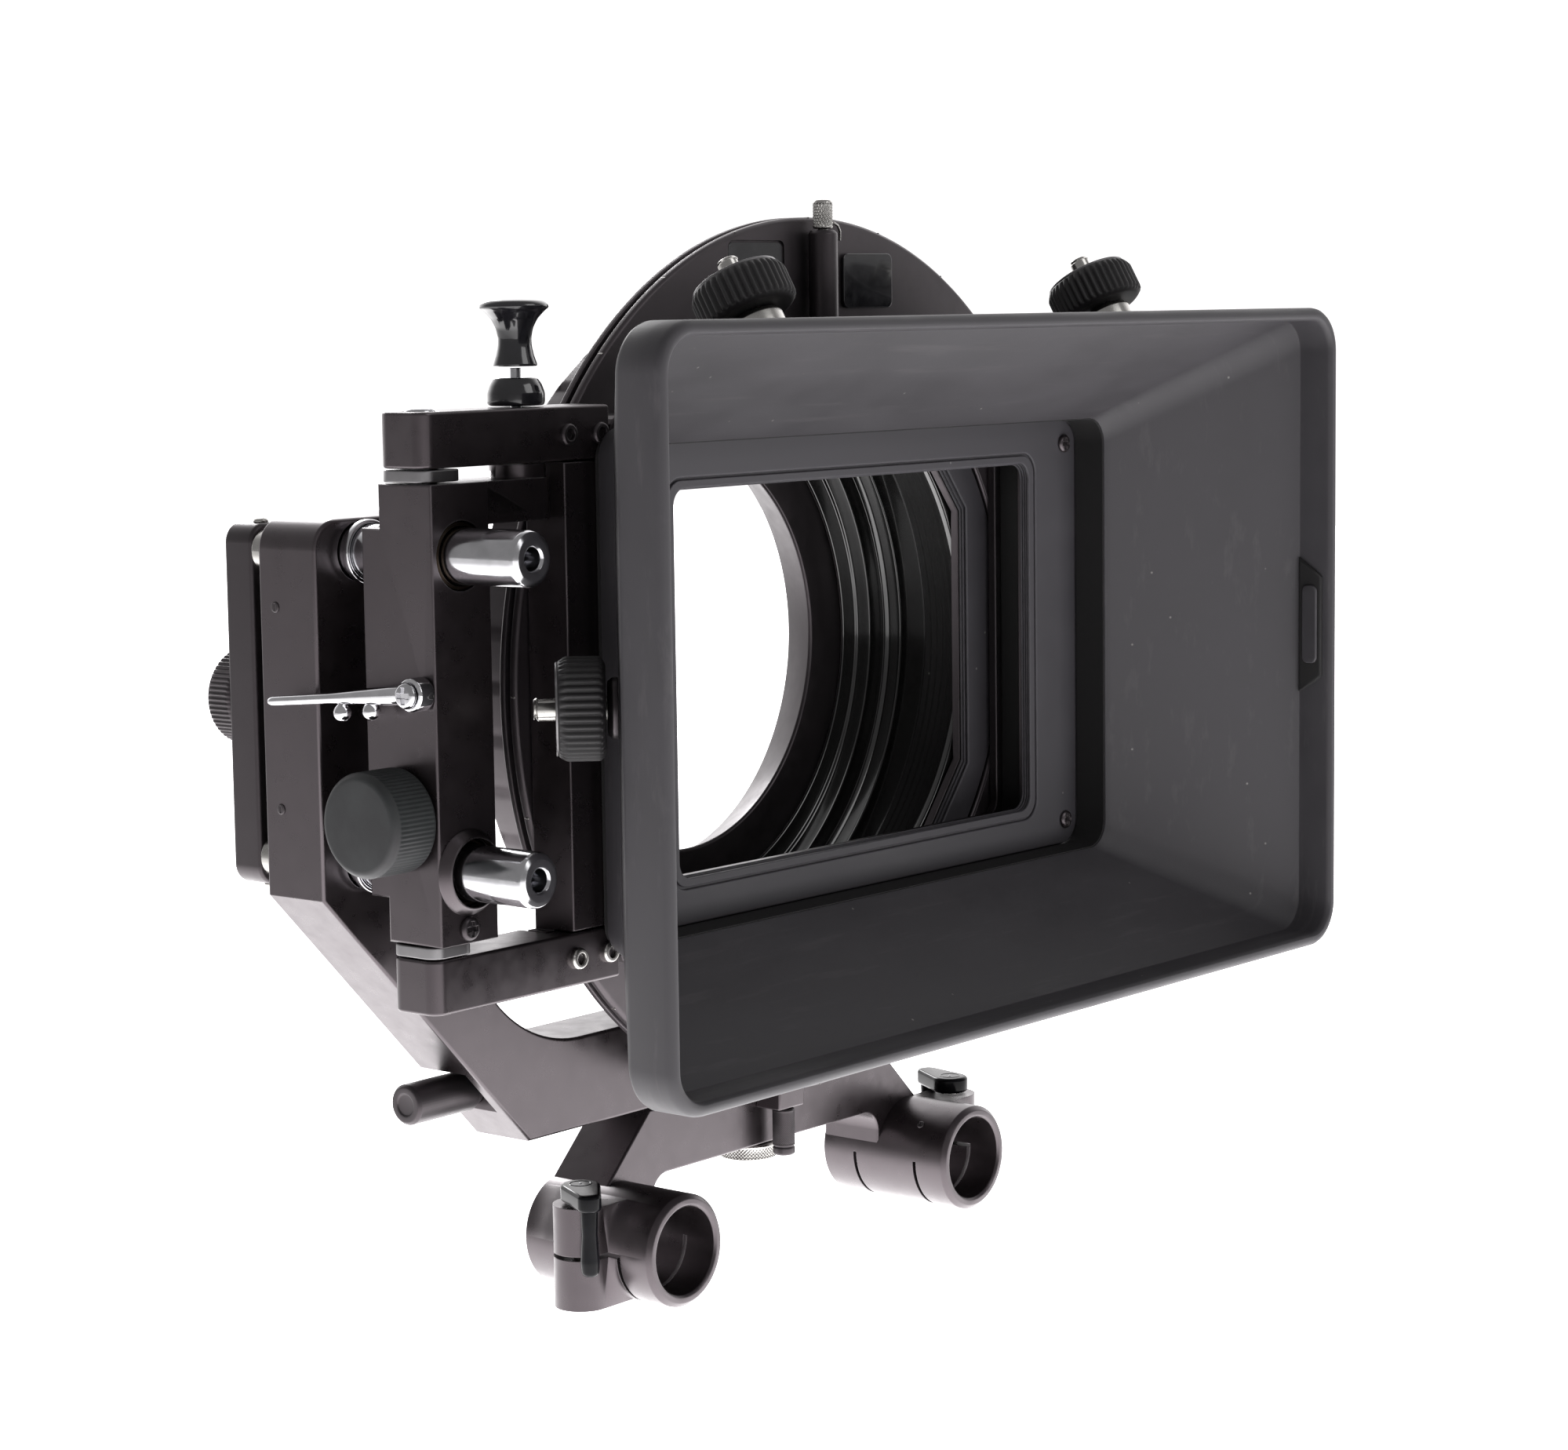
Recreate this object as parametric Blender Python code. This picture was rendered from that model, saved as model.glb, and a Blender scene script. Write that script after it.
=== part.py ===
"""Swing-away matte box on a bridge for two 19 mm camera rods.

Metres, +Z up, +Y back towards the camera, +X to the right for a viewer who looks into the
hood. Sizes and places below are measured from the optical axis and the front face of the hood.
The last step moves everything so that the world origin is the middle of the rear face of the
bridge web, on the plane half-way between the two rods.
"""
import math

import bmesh
import bpy
from mathutils import Matrix, Vector

MM = 0.001
GAP = 0.3 * MM

# Rods and bridge: the 19 mm support standard sets the scale of everything else.
ROD_BORE = 19.0 * MM
ROD_SPACING = 104.0 * MM
ROD_DROP = 122.6 * MM
TUBE_RADIUS = 12.2 * MM
TUBE_LENGTH = 36.0 * MM
PLATE_FRONT = 76.6 * MM
PLATE_BACK = 92.6 * MM
TUBE_PROUD = 0.4 * MM
TUBE_FRONT = PLATE_BACK + TUBE_PROUD - TUBE_LENGTH
WEB_BOTTOM = -111.5 * MM
WEB_TOP = -96.6 * MM
SHOULDER_SUM = -55.7 * MM
CLAMP_X = 66.0 * MM
CLAMP_Y = 74.5 * MM
BOSS_RADIUS = 6.0 * MM
BOSS_TOP = -111.8 * MM
SLIT = 0.9 * MM
SLIT_YS = (65.7 * MM, 83.3 * MM)

# The world origin, measured like everything else from the optical axis and the hood's front.
ORIGIN = Vector((0.0, PLATE_BACK, (WEB_BOTTOM + WEB_TOP) / 2))

# Console: an upright and a foot cut from one plate, in the same plane as the bridge.
CONSOLE_LEFT = -136.0 * MM
CONSOLE_INNER = -97.0 * MM
CONSOLE_TOP = 37.2 * MM
CONSOLE_BOTTOM = -96.3 * MM
CONSOLE_FOOT_TOP = -76.6 * MM
CONSOLE_RIGHT = 40.0 * MM
CONSOLE_CORNER = 35.0 * MM
HOUSING_CLEARANCE = 81.6 * MM
POCKET_WALL = -86.0 * MM
POCKET_ROOF = -79.5 * MM

# Guide rods, slide block and the swing hinge.
GUIDE_X = -124.0 * MM
GUIDE_Z = 30.6 * MM
GUIDE_RADIUS = 5.5 * MM
GUIDE_FRONT = 29.6 * MM
BLOCK_LEFT = -132.0 * MM
BLOCK_RIGHT = -116.0 * MM
BLOCK_FRONT = 48.6 * MM
BLOCK_BACK = 67.6 * MM
BLOCK_HALF = 44.5 * MM
BAR_BOTTOM = 35.9 * MM
ARM_FRONT = 50.4 * MM
ARM_BACK = 62.8 * MM
HINGE = Vector((-126.2 * MM, 56.6 * MM, 0.0))
HINGE_PIN = 3.0 * MM
PLUNGER_X = -99.4 * MM
ARM_LOW = 47.4 * MM
ARM_HIGH = 58.2 * MM
ARM_RIGHT = -79.2 * MM
LAP_LEFT = -95.0 * MM
LAP_Y = 55.6 * MM
STAGE_FRONT = 50.3 * MM
STAGE_BACK = 61.0 * MM

# Hood and the square aperture.
HOOD_W = 242.0 * MM
HOOD_H = 150.0 * MM
HOOD_BACK = 48.8 * MM
RIM_DEPTH = 12.0 * MM
LIP = 3.0 * MM
LIP_DEPTH = 8.5 * MM
STEP_W = 163.0 * MM
STEP_H = 100.6 * MM
STEP_Y = 39.0 * MM
MASK_Y = 47.7 * MM
MASK_T = 2.2 * MM
MASK_SCREW = Vector((76.4 * MM, 0.0, 44.3 * MM))
APERTURE_W = 125.2 * MM
APERTURE_H = 80.8 * MM

# Round stage behind the hood.
DISC_FRONT = 61.3 * MM
DISC_BACK = 66.3 * MM
DISC_RADIUS = 96.3 * MM
DISC_HOLE = 72.4 * MM
HOUSING_RADIUS = 80.0 * MM
HOUSING_BACK = 99.4 * MM
LENS_RADIUS = 46.0 * MM
LENS_RADIUS_BACK = 50.0 * MM
LENS_BACK = 110.0 * MM

WELD = 0.002 * MM
FINE = 40
ROUND = 18
SMALL = 12


# ---------------------------------------------------------------- scene, materials, helpers
def clear_scene():
    """Remove every object so that the file starts empty."""
    for obj in list(bpy.data.objects):
        bpy.data.objects.remove(obj, do_unlink=True)


def collection(name):
    """A collection linked to the scene."""
    made = bpy.data.collections.new(name)
    bpy.context.scene.collection.children.link(made)
    return made


def material(name, colour, roughness, metallic):
    """A Principled material."""
    mat = bpy.data.materials.new(name)
    mat.use_nodes = True
    shader = mat.node_tree.nodes["Principled BSDF"]
    shader.inputs["Base Color"].default_value = (*colour, 1.0)
    shader.inputs["Roughness"].default_value = roughness
    shader.inputs["Metallic"].default_value = metallic
    return mat


clear_scene()
PARTS = collection("swing_away_matte_box")
CUTTERS = collection("cutters")
ANODISED = ((0.035, 0.032, 0.036), 0.42, 0.6)
MOULDED = ((0.045, 0.045, 0.05), 0.62, 0.0)
POLISHED = ((0.72, 0.72, 0.74), 0.14, 1.0)
KNURLED = ((0.03, 0.03, 0.032), 0.55, 0.2)
GLOSSY = ((0.012, 0.012, 0.014), 0.12, 0.3)
BRONZE = ((0.45, 0.30, 0.14), 0.35, 1.0)
FRAMES = {}


def frame(name, place, parent=None, rotation=None):
    """An empty that stands on a joint axis and carries the pieces of one body."""
    empty = bpy.data.objects.new(name + "_axis", None)
    empty.empty_display_size = 8 * MM
    PARTS.objects.link(empty)
    world = Matrix.Translation(place)
    if rotation is not None:
        world = world @ rotation.to_4x4()
    if parent is not None:
        empty.parent = FRAMES[parent]
        bpy.context.view_layer.update()
        world = FRAMES[parent].matrix_world.inverted() @ world
    empty.matrix_local = world
    bpy.context.view_layer.update()
    FRAMES[name] = empty


def add_mesh(name, bm, look, body=None, cutter=False, smooth=True, world=None):
    """Make a named object from a bmesh and hang it on its body's frame."""
    bmesh.ops.remove_doubles(bm, verts=bm.verts, dist=0.0005 * MM)
    bmesh.ops.recalc_face_normals(bm, faces=bm.faces)
    mesh = bpy.data.meshes.new(name)
    bm.to_mesh(mesh)
    bm.free()
    if smooth:
        mesh.shade_smooth()
        mesh.set_sharp_from_angle(angle=math.radians(35))
    obj = bpy.data.objects.new(name, mesh)
    place = world if world is not None else Matrix.Identity(4)
    if cutter:
        CUTTERS.objects.link(obj)
        obj.hide_render = True
        obj.display_type = "WIRE"
        obj.matrix_world = place
        return obj
    PARTS.objects.link(obj)
    mesh.materials.append(material(name, *look))
    if body is not None:
        obj.parent = FRAMES[body]
        place = FRAMES[body].matrix_world.inverted() @ place
    obj.matrix_local = place
    return obj


def axis_frame(place, direction):
    """A placement whose local Z runs along direction."""
    turn = Vector((0, 0, 1)).rotation_difference(Vector(direction).normalized())
    return Matrix.Translation(place) @ turn.to_matrix().to_4x4()


def turned(name, profile, place, direction, look=None, body=None, steps=ROUND, cutter=False):
    """Spin a (radius, height) profile about the axis through place along direction."""
    bm = bmesh.new()
    verts = [bm.verts.new((radius, 0.0, height)) for radius, height in profile]
    on_axis = profile[0][0] == 0.0 and profile[-1][0] == 0.0
    pairs = list(zip(verts, verts[1:]))
    if not on_axis:
        pairs.append((verts[-1], verts[0]))
    edges = [bm.edges.new(pair) for pair in pairs]
    bmesh.ops.spin(bm, geom=verts + edges, axis=(0, 0, 1), cent=(0, 0, 0),
                   angle=math.tau, steps=steps, use_merge=True)
    return add_mesh(name, bm, look, body, cutter, world=axis_frame(place, direction))


def rod(name, radius, start, length, direction, look=None, body=None, steps=SMALL, cutter=False):
    """A plain solid cylinder."""
    profile = [(0.0, 0.0), (radius, 0.0), (radius, length), (0.0, length)]
    return turned(name, profile, start, direction, look, body, steps, cutter)


PLANES = {
    "X": Matrix(((0, 0, 1), (1, 0, 0), (0, 1, 0))),
    "Y": Matrix(((1, 0, 0), (0, 0, -1), (0, 1, 0))),
    "Z": Matrix(((1, 0, 0), (0, 1, 0), (0, 0, 1))),
}


def plate(name, outlines, axis, low, high, look=None, body=None, cutter=False):
    """Fill closed outlines (inner ones are holes) and extrude them from low to high.

    Outlines are (y, z) for axis X, (x, z) for axis Y and (x, y) for axis Z.
    """
    curve = bpy.data.curves.new(name, "CURVE")
    curve.dimensions = "2D"
    curve.fill_mode = "BOTH"
    curve.extrude = (high - low) / 2
    for outline in outlines:
        spline = curve.splines.new("POLY")
        spline.points.add(len(outline) - 1)
        for point, (u, v) in zip(spline.points, outline):
            point.co = (u, v, 0.0, 1.0)
        spline.use_cyclic_u = True
    drawn = bpy.data.objects.new(name + "_curve", curve)
    CUTTERS.objects.link(drawn)
    bpy.context.view_layer.update()
    mesh = bpy.data.meshes.new_from_object(drawn.evaluated_get(
        bpy.context.evaluated_depsgraph_get()))
    bpy.data.objects.remove(drawn, do_unlink=True)
    bm = bmesh.new()
    bm.from_mesh(mesh)
    middle = (low + high) / 2
    shift = {"X": (middle, 0, 0), "Y": (0, middle, 0), "Z": (0, 0, middle)}[axis]
    world = Matrix.Translation(shift) @ PLANES[axis].to_4x4()
    return add_mesh(name, bm, look, body, cutter, smooth=False, world=world)


def box(name, low, high, look=None, body=None, cutter=False):
    """An axis-aligned block between two corners."""
    low, high = Vector(low), Vector(high)
    bm = bmesh.new()
    bmesh.ops.create_cube(bm, size=1.0)
    bmesh.ops.scale(bm, vec=high - low, verts=bm.verts)
    world = Matrix.Translation((low + high) / 2)
    return add_mesh(name, bm, look, body, cutter, smooth=False, world=world)


def cut(target, *tools, operation="DIFFERENCE"):
    """Exact Booleans of the tools on the target."""
    for tool in tools:
        modifier = target.modifiers.new(tool.name, "BOOLEAN")
        modifier.operation = operation
        modifier.solver = "EXACT"
        modifier.object = tool
        weld = target.modifiers.new("weld", "WELD")
        weld.merge_threshold = WELD
    return target


def join(target, *tools):
    """Exact union of the tools with the target."""
    return cut(target, *tools, operation="UNION")


def arc(centre_u, centre_v, radius, start, end, steps):
    """Points of an arc, angles in degrees."""
    turns = [math.radians(start + (end - start) * i / steps) for i in range(steps + 1)]
    return [(centre_u + radius * math.cos(a), centre_v + radius * math.sin(a)) for a in turns]


def rounded(u0, v0, u1, v1, radii, steps=4):
    """A rectangle with one corner radius, or four from the lower left round to the upper left."""
    if not isinstance(radii, tuple):
        radii = (radii,) * 4
    corners = ((u0, v0, 1, 1, 180), (u1, v0, -1, 1, 270), (u1, v1, -1, -1, 0), (u0, v1, 1, -1, 90))
    points = []
    for (u, v, du, dv, start), r in zip(corners, radii):
        if r == 0:
            points.append((u, v))
        else:
            points += arc(u + du * r, v + dv * r, r, start, start + 90, steps)
    return points


def circle(u, v, radius, steps=ROUND):
    """Points of a full circle."""
    return arc(u, v, radius, 0, 360 - 360 / steps, steps - 1)


def turned_knob(name, radius, place, direction, profile, look, body, steps=ROUND):
    """A knob with its screw: (radius factor, height) pairs, negative heights for the screw."""
    scaled = [(radius * factor, height) for factor, height in profile]
    closed = [(0.0, scaled[0][1])] + scaled + [(0.0, scaled[-1][1])]
    return turned(name, closed, place, direction, look, body, steps)


# ---------------------------------------------------------------- joint frames
BODY = {
    "clamp_left": Vector((-CLAMP_X, CLAMP_Y, BOSS_TOP)),
    "clamp_right": Vector((CLAMP_X, CLAMP_Y, BOSS_TOP)),
    "lock_wheel": Vector((0.0, 83.0 * MM, WEB_BOTTOM)),
    "lock_pull": Vector((0.0, 72.4 * MM, -103.0 * MM)),
    "thumbwheel": Vector((GUIDE_X, 105.0 * MM, 0.3 * MM)),
    "side_knob": Vector((POCKET_WALL, 86.0 * MM, -84.8 * MM)),
    "carriage": Vector((GUIDE_X, BLOCK_FRONT, 0.0)),
    "big_knob": Vector((BLOCK_LEFT, 58.2 * MM, -20.1 * MM)),
    "lever": Vector((BLOCK_LEFT, 51.4 * MM, 4.7 * MM)),
    "swing": HINGE,
    "plunger": Vector((PLUNGER_X, HINGE.y, ARM_HIGH)),
    "tray": Vector((0.0, 55.8 * MM, 0.0)),
    "stage": Vector((0.0, DISC_FRONT, 0.0)),
    "stage_lock": Vector((0.0, 57.8 * MM, 93.5 * MM)),
}
SIDE_TAPER = math.atan2(33.8, 31.0)
TOP_TAPER = math.atan2(17.8, 31.0)
FLAGS = {
    "top_left": (Vector((-62 * MM, 25 * MM, 72 * MM)), TOP_TAPER, Vector((0, 0, 1)), -4.6 * MM),
    "top_right": (Vector((62 * MM, 25 * MM, 72 * MM)), TOP_TAPER, Vector((0, 0, 1)), -4.6 * MM),
    "left": (Vector((-102.4 * MM, 28 * MM, 0.5 * MM)), SIDE_TAPER, Vector((-1, 0, 0)), GAP),
    "right": (Vector((102.4 * MM, 28 * MM, 0.5 * MM)), SIDE_TAPER, Vector((1, 0, 0)), GAP),
}


def flag_axis(taper, outward):
    """Normal of a tapered hood wall that faces outward."""
    return outward * math.cos(taper) + Vector((0, 1, 0)) * math.sin(taper)


def build_frames():
    """One empty on every joint axis, nested as the mechanism is."""
    on_root = ("clamp_left", "clamp_right", "lock_wheel", "lock_pull", "thumbwheel", "side_knob",
               "carriage")
    for name in on_root:
        frame(name, BODY[name])
    for name in ("big_knob", "lever", "swing"):
        frame(name, BODY[name], "carriage")
    for name in ("plunger", "tray", "stage", "stage_lock"):
        frame(name, BODY[name], "swing")
    for name, (place, taper, outward, _) in FLAGS.items():
        direction = flag_axis(taper, outward)
        turn = Vector((0, 0, 1)).rotation_difference(direction).to_matrix()
        frame("flag_" + name, place, "swing", turn)


# ---------------------------------------------------------------- bridge
def web_outline():
    """Cross bar of the bridge with its sloping shoulders and the inner leg corners."""
    half = ROD_SPACING / 2
    leg = half - TUBE_RADIUS + 0.4 * MM
    fillet = 5 * MM
    right = [(SHOULDER_SUM - WEB_TOP, WEB_TOP), (half + 7 * MM, SHOULDER_SUM - half - 7 * MM),
             (half, -ROD_DROP), (leg, -ROD_DROP)]
    right += arc(leg - fillet, WEB_BOTTOM - fillet, fillet, 0, 90, 5)
    return right + [(-x, z) for x, z in reversed(right)]


def bridge_bracket():
    """Web, two rod tubes with clamp bosses, bores and the slits that let them close."""
    body = plate("bridge_bracket", [web_outline()], "Y", PLATE_FRONT, PLATE_BACK, ANODISED)
    lug = box("lug", (-4.5 * MM, 69.8 * MM, -102.7 * MM), (4.5 * MM, 77.6 * MM, -97.2 * MM),
              cutter=True)
    join(body, lug)
    for side in (-1, 1):
        x = side * ROD_SPACING / 2
        tube = rod("tube", TUBE_RADIUS, (x, TUBE_FRONT, -ROD_DROP), TUBE_LENGTH, (0, 1, 0),
                   steps=24, cutter=True)
        outer = side * CLAMP_X
        boss = plate("boss", [
            [(side * 54 * MM, CLAMP_Y - BOSS_RADIUS)]
            + [(side * u, v) for u, v in arc(CLAMP_X, CLAMP_Y, BOSS_RADIUS, -90, 90, 6)]
            + [(side * 54 * MM, CLAMP_Y + BOSS_RADIUS)]],
            "Z", -134.0 * MM, BOSS_TOP, cutter=True)
        join(body, tube, boss)
        bore = rod("bore", ROD_BORE / 2, (x, TUBE_FRONT - MM, -ROD_DROP), TUBE_LENGTH + 2 * MM,
                   (0, 1, 0), steps=24, cutter=True)
        screw = rod("screw_hole", 2.3 * MM, (outer, CLAMP_Y, -136 * MM), 26 * MM, (0, 0, 1),
                    cutter=True)
        cut(body, bore, screw)
        for y in SLIT_YS:
            cut(body, box("slit", (x - 13 * MM, y - SLIT / 2, -137 * MM),
                          (x + 13 * MM, y + SLIT / 2, -ROD_DROP + SLIT / 4), cutter=True))
        near, far = sorted((x + side * 9 * MM, x + side * 23 * MM))
        cut(body, box("split", (near, SLIT_YS[0] - SLIT / 2, -ROD_DROP - SLIT / 2),
                      (far, SLIT_YS[1] + SLIT / 2, -ROD_DROP + SLIT / 2), cutter=True))
    wheel_hole = rod("wheel_hole", 2.3 * MM, (0, BODY["lock_wheel"].y, -118 * MM), 24 * MM,
                     (0, 0, 1), cutter=True)
    pin_hole = rod("pin_hole", 1.5 * MM, (0, BODY["lock_pull"].y, -104 * MM), 5 * MM,
                   (0, 0, 1), cutter=True)
    cut(body, wheel_hole, pin_hole)


def clamp_lever(side, name):
    """Hub on top of the boss with an arm whose grip hangs down beside it, and its screw."""
    place = BODY["clamp_" + name]
    reach = 9.6 * MM
    direction = Vector((side * 0.6, -0.8, 0.0)) if side < 0 else Vector((0.35, 0.94, 0.0))
    profile = [(0, GAP), (4.3 * MM, GAP), (4.3 * MM, 3.6 * MM), (3.6 * MM, 4.2 * MM), (0, 4.2 * MM)]
    hub = turned("rod_clamp_lever_" + name, profile, place, (0, 0, 1), GLOSSY, "clamp_" + name,
                 steps=16)
    tip = place + direction * reach
    across = direction.cross(Vector((0, 0, 1))) * 2.0 * MM
    ends = ((place + across).xy, (place - across).xy, (tip - across).xy, (tip + across).xy)
    arm = plate("arm", [[tuple(p) for p in ends]], "Z", BOSS_TOP + 1.0 * MM, BOSS_TOP + 3.4 * MM,
                cutter=True)
    handle_low = 13.5 * MM
    handle = turned("handle", [(0, 0), (1.5 * MM, 0), (2.1 * MM, 0.8 * MM),
                               (2.1 * MM, handle_low + 2.6 * MM), (1.4 * MM, handle_low + 3.4 * MM),
                               (0, handle_low + 3.4 * MM)],
                    (tip.x, tip.y, BOSS_TOP - handle_low), (0, 0, 1), steps=SMALL, cutter=True)
    join(hub, arm, handle)
    rod("rod_clamp_screw_" + name, 2.0 * MM, (place.x, place.y, -133.6 * MM), 21.5 * MM,
        (0, 0, 1), POLISHED, "clamp_" + name)


def bridge_locks():
    """Knurled wheel under the web and the knurled pull pin in front of it."""
    wheel = BODY["lock_wheel"]
    turned_knob("bridge_lock_wheel", 6.6 * MM, (0, wheel.y, WEB_BOTTOM - GAP), (0, 0, -1),
                [(0.28, -22 * MM), (0.28, 0.0), (0.93, 0.0), (1.0, 0.4 * MM), (1.0, 3.6 * MM),
                 (0.93, 4.0 * MM)], POLISHED, "lock_wheel")
    pull = BODY["lock_pull"]
    turned_knob("bridge_lock_pin", 2.55 * MM, (0, pull.y, pull.z), (0, 0, -1),
                [(0.45, -3.4 * MM), (0.45, 0.0), (0.93, 0.0), (1.0, 0.4 * MM), (1.0, 8.4 * MM),
                 (0.9, 8.6 * MM), (0.98, 8.8 * MM), (0.98, 10.3 * MM), (0.85, 10.7 * MM)],
                KNURLED, "lock_pull")


# ---------------------------------------------------------------- console
def console_outline():
    """Upright, 46 degree diagonal and foot, with clearance for the round housing."""
    bevel = 4 * MM
    outline = [(CONSOLE_LEFT, -37.5 * MM), (-79.0 * MM, CONSOLE_BOTTOM),
               (CONSOLE_RIGHT, CONSOLE_BOTTOM)]
    edge = math.degrees(math.asin(-CONSOLE_FOOT_TOP / HOUSING_CLEARANCE))
    right = math.degrees(math.acos(CONSOLE_RIGHT / HOUSING_CLEARANCE))
    if right < edge:
        outline.append((CONSOLE_RIGHT, CONSOLE_FOOT_TOP))
    outline += arc(0, 0, HOUSING_CLEARANCE, -edge, edge - 180, 10)
    outline += arc(-62 * MM, CONSOLE_FOOT_TOP + CONSOLE_CORNER, CONSOLE_CORNER, -90, -180, 8)
    outline += [(CONSOLE_INNER, CONSOLE_TOP - bevel), (CONSOLE_INNER - bevel, CONSOLE_TOP),
                (CONSOLE_LEFT + bevel, CONSOLE_TOP), (CONSOLE_LEFT, CONSOLE_TOP - bevel)]
    return outline


def console_plate():
    """The plate with its rod holes, screw holes and the pocket for the side knob."""
    body = plate("console_plate", [console_outline()], "Y", PLATE_FRONT, PLATE_BACK, ANODISED)
    for z in (-GUIDE_Z, GUIDE_Z):
        cut(body, rod("rod_hole", GUIDE_RADIUS + GAP, (GUIDE_X, 75 * MM, z), 20 * MM, (0, 1, 0),
                      steps=16, cutter=True))
    wheel = BODY["thumbwheel"]
    knob = BODY["side_knob"]
    cut(body,
        rod("wheel_screw_hole", 2.3 * MM, (wheel.x, 82 * MM, wheel.z), 12 * MM, (0, 1, 0),
            cutter=True),
        rod("lock_screw_hole", 2.3 * MM, (0, BODY["lock_wheel"].y, -98 * MM), 9 * MM, (0, 0, 1),
            cutter=True),
        box("pocket", (-112 * MM, 79.2 * MM, -97 * MM), (POCKET_WALL, 94 * MM, POCKET_ROOF),
            cutter=True),
        rod("knob_hole", 2.3 * MM, (POCKET_WALL - 2 * MM, knob.y, knob.z), 12 * MM, (1, 0, 0),
            cutter=True))


def guide_rods():
    """Polished rods with an axial hole in front and a thinner tail behind the console."""
    tail = 102.0 * MM - GUIDE_FRONT
    shoulder = 92.3 * MM - GUIDE_FRONT
    profile = [(0, 8 * MM), (2.3 * MM, 8 * MM), (2.3 * MM, 0), (5.0 * MM, 0),
               (GUIDE_RADIUS, 0.5 * MM), (GUIDE_RADIUS, shoulder), (3.25 * MM, shoulder),
               (3.25 * MM, tail), (0, tail)]
    for name, z in (("top", GUIDE_Z), ("bottom", -GUIDE_Z)):
        turned("guide_rod_" + name, profile, (GUIDE_X, GUIDE_FRONT, z), (0, 1, 0), POLISHED,
               steps=16)


def rear_plate():
    """Plate that ties the rod tails together, with the thumbwheel on its back."""
    body = plate("rear_plate", [rounded(-134 * MM, -36.5 * MM, -115 * MM, 36 * MM, 5 * MM)],
                 "Y", 96.6 * MM, 104.6 * MM, ANODISED)
    for z in (-GUIDE_Z, GUIDE_Z):
        cut(body, rod("tail_hole", 3.25 * MM + GAP, (GUIDE_X, 95 * MM, z), 11 * MM, (0, 1, 0),
                      cutter=True))
    wheel = BODY["thumbwheel"]
    cut(body, rod("wheel_hole_rear", 2.3 * MM, (wheel.x, 95 * MM, wheel.z), 11 * MM, (0, 1, 0),
                  cutter=True))
    turned_knob("rear_thumbwheel", 9.75 * MM, (wheel.x, 104.9 * MM, wheel.z), (0, 1, 0),
                [(0.2, -21 * MM), (0.2, 0.0), (0.93, 0.0), (1.0, 0.6 * MM), (1.0, 6.4 * MM),
                 (0.93, 7.0 * MM)], KNURLED, "thumbwheel")


def side_knob():
    """Knurled knob in the pocket of the diagonal."""
    knob = BODY["side_knob"]
    turned_knob("side_knob", 4.3 * MM, (POCKET_WALL - GAP, knob.y, knob.z), (-1, 0, 0),
                [(0.45, -9 * MM), (0.45, 0.0), (0.8, 0.0), (0.8, 1.6 * MM), (1.0, 1.9 * MM),
                 (1.0, 19.2 * MM), (0.88, 19.8 * MM)], KNURLED, "side_knob")


# ---------------------------------------------------------------- slide carriage
def slide_block():
    """Block on the guide rods with the long locking bar on top."""
    front, back, half = BLOCK_FRONT, BLOCK_BACK, BLOCK_HALF
    side = [(front, -half), (ARM_BACK, -half), (ARM_BACK, -BAR_BOTTOM), (back, -BAR_BOTTOM),
            (back, BAR_BOTTOM), (ARM_BACK, BAR_BOTTOM), (ARM_BACK, half), (front, half)]
    body = plate("slide_block", [side], "X", BLOCK_LEFT, BLOCK_RIGHT, ANODISED, "carriage")
    end = (ARM_BACK - ARM_FRONT) / 2 - 0.1 * MM
    bar_outline = [(BLOCK_RIGHT - 2 * MM, HINGE.y - end)]
    bar_outline += arc(PLUNGER_X, HINGE.y, end, -90, 90, 8)
    bar_outline += [(BLOCK_RIGHT - 2 * MM, HINGE.y + end)]
    bar = plate("bar", [bar_outline], "Z", BAR_BOTTOM + 0.2 * MM, half - 0.1 * MM, cutter=True)
    boss = rod("lock_boss", 5.6 * MM, (PLUNGER_X, HINGE.y, half - MM), 3.6 * MM, (0, 0, 1),
               steps=16, cutter=True)
    join(body, bar, boss)
    for z in (-GUIDE_Z, GUIDE_Z):
        cut(body, rod("bush_hole", 6.8 * MM, (GUIDE_X, 47 * MM, z), 22 * MM, (0, 1, 0),
                      steps=16, cutter=True))
    cut(body,
        rod("hinge_hole", HINGE_PIN + GAP, (HINGE.x, HINGE.y, 38.1 * MM), 12 * MM, (0, 0, 1),
            cutter=True),
        rod("hinge_hole_low", HINGE_PIN + GAP, (HINGE.x, HINGE.y, -50.1 * MM), 12 * MM, (0, 0, 1),
            cutter=True),
        rod("lock_hole", 2.3 * MM, (PLUNGER_X, HINGE.y, 41.5 * MM), 8 * MM, (0, 0, 1),
            cutter=True),
        rod("clamp_hole", 2.5 * MM, (BLOCK_LEFT - MM, BODY["big_knob"].y, BODY["big_knob"].z),
            11 * MM, (1, 0, 0), cutter=True),
        rod("pivot_hole", 1.6 * MM, (BLOCK_LEFT - MM, BODY["lever"].y, BODY["lever"].z), 9 * MM,
            (1, 0, 0), cutter=True))
    bush = [(GUIDE_RADIUS + GAP, 0), (6.5 * MM, 0), (6.5 * MM, 18.6 * MM),
            (GUIDE_RADIUS + GAP, 18.6 * MM)]
    for name, z in (("top", GUIDE_Z), ("bottom", -GUIDE_Z)):
        turned("guide_bush_" + name, bush, (GUIDE_X, BLOCK_FRONT + 0.2 * MM, z), (0, 1, 0),
               BRONZE, "carriage", steps=16)


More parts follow.
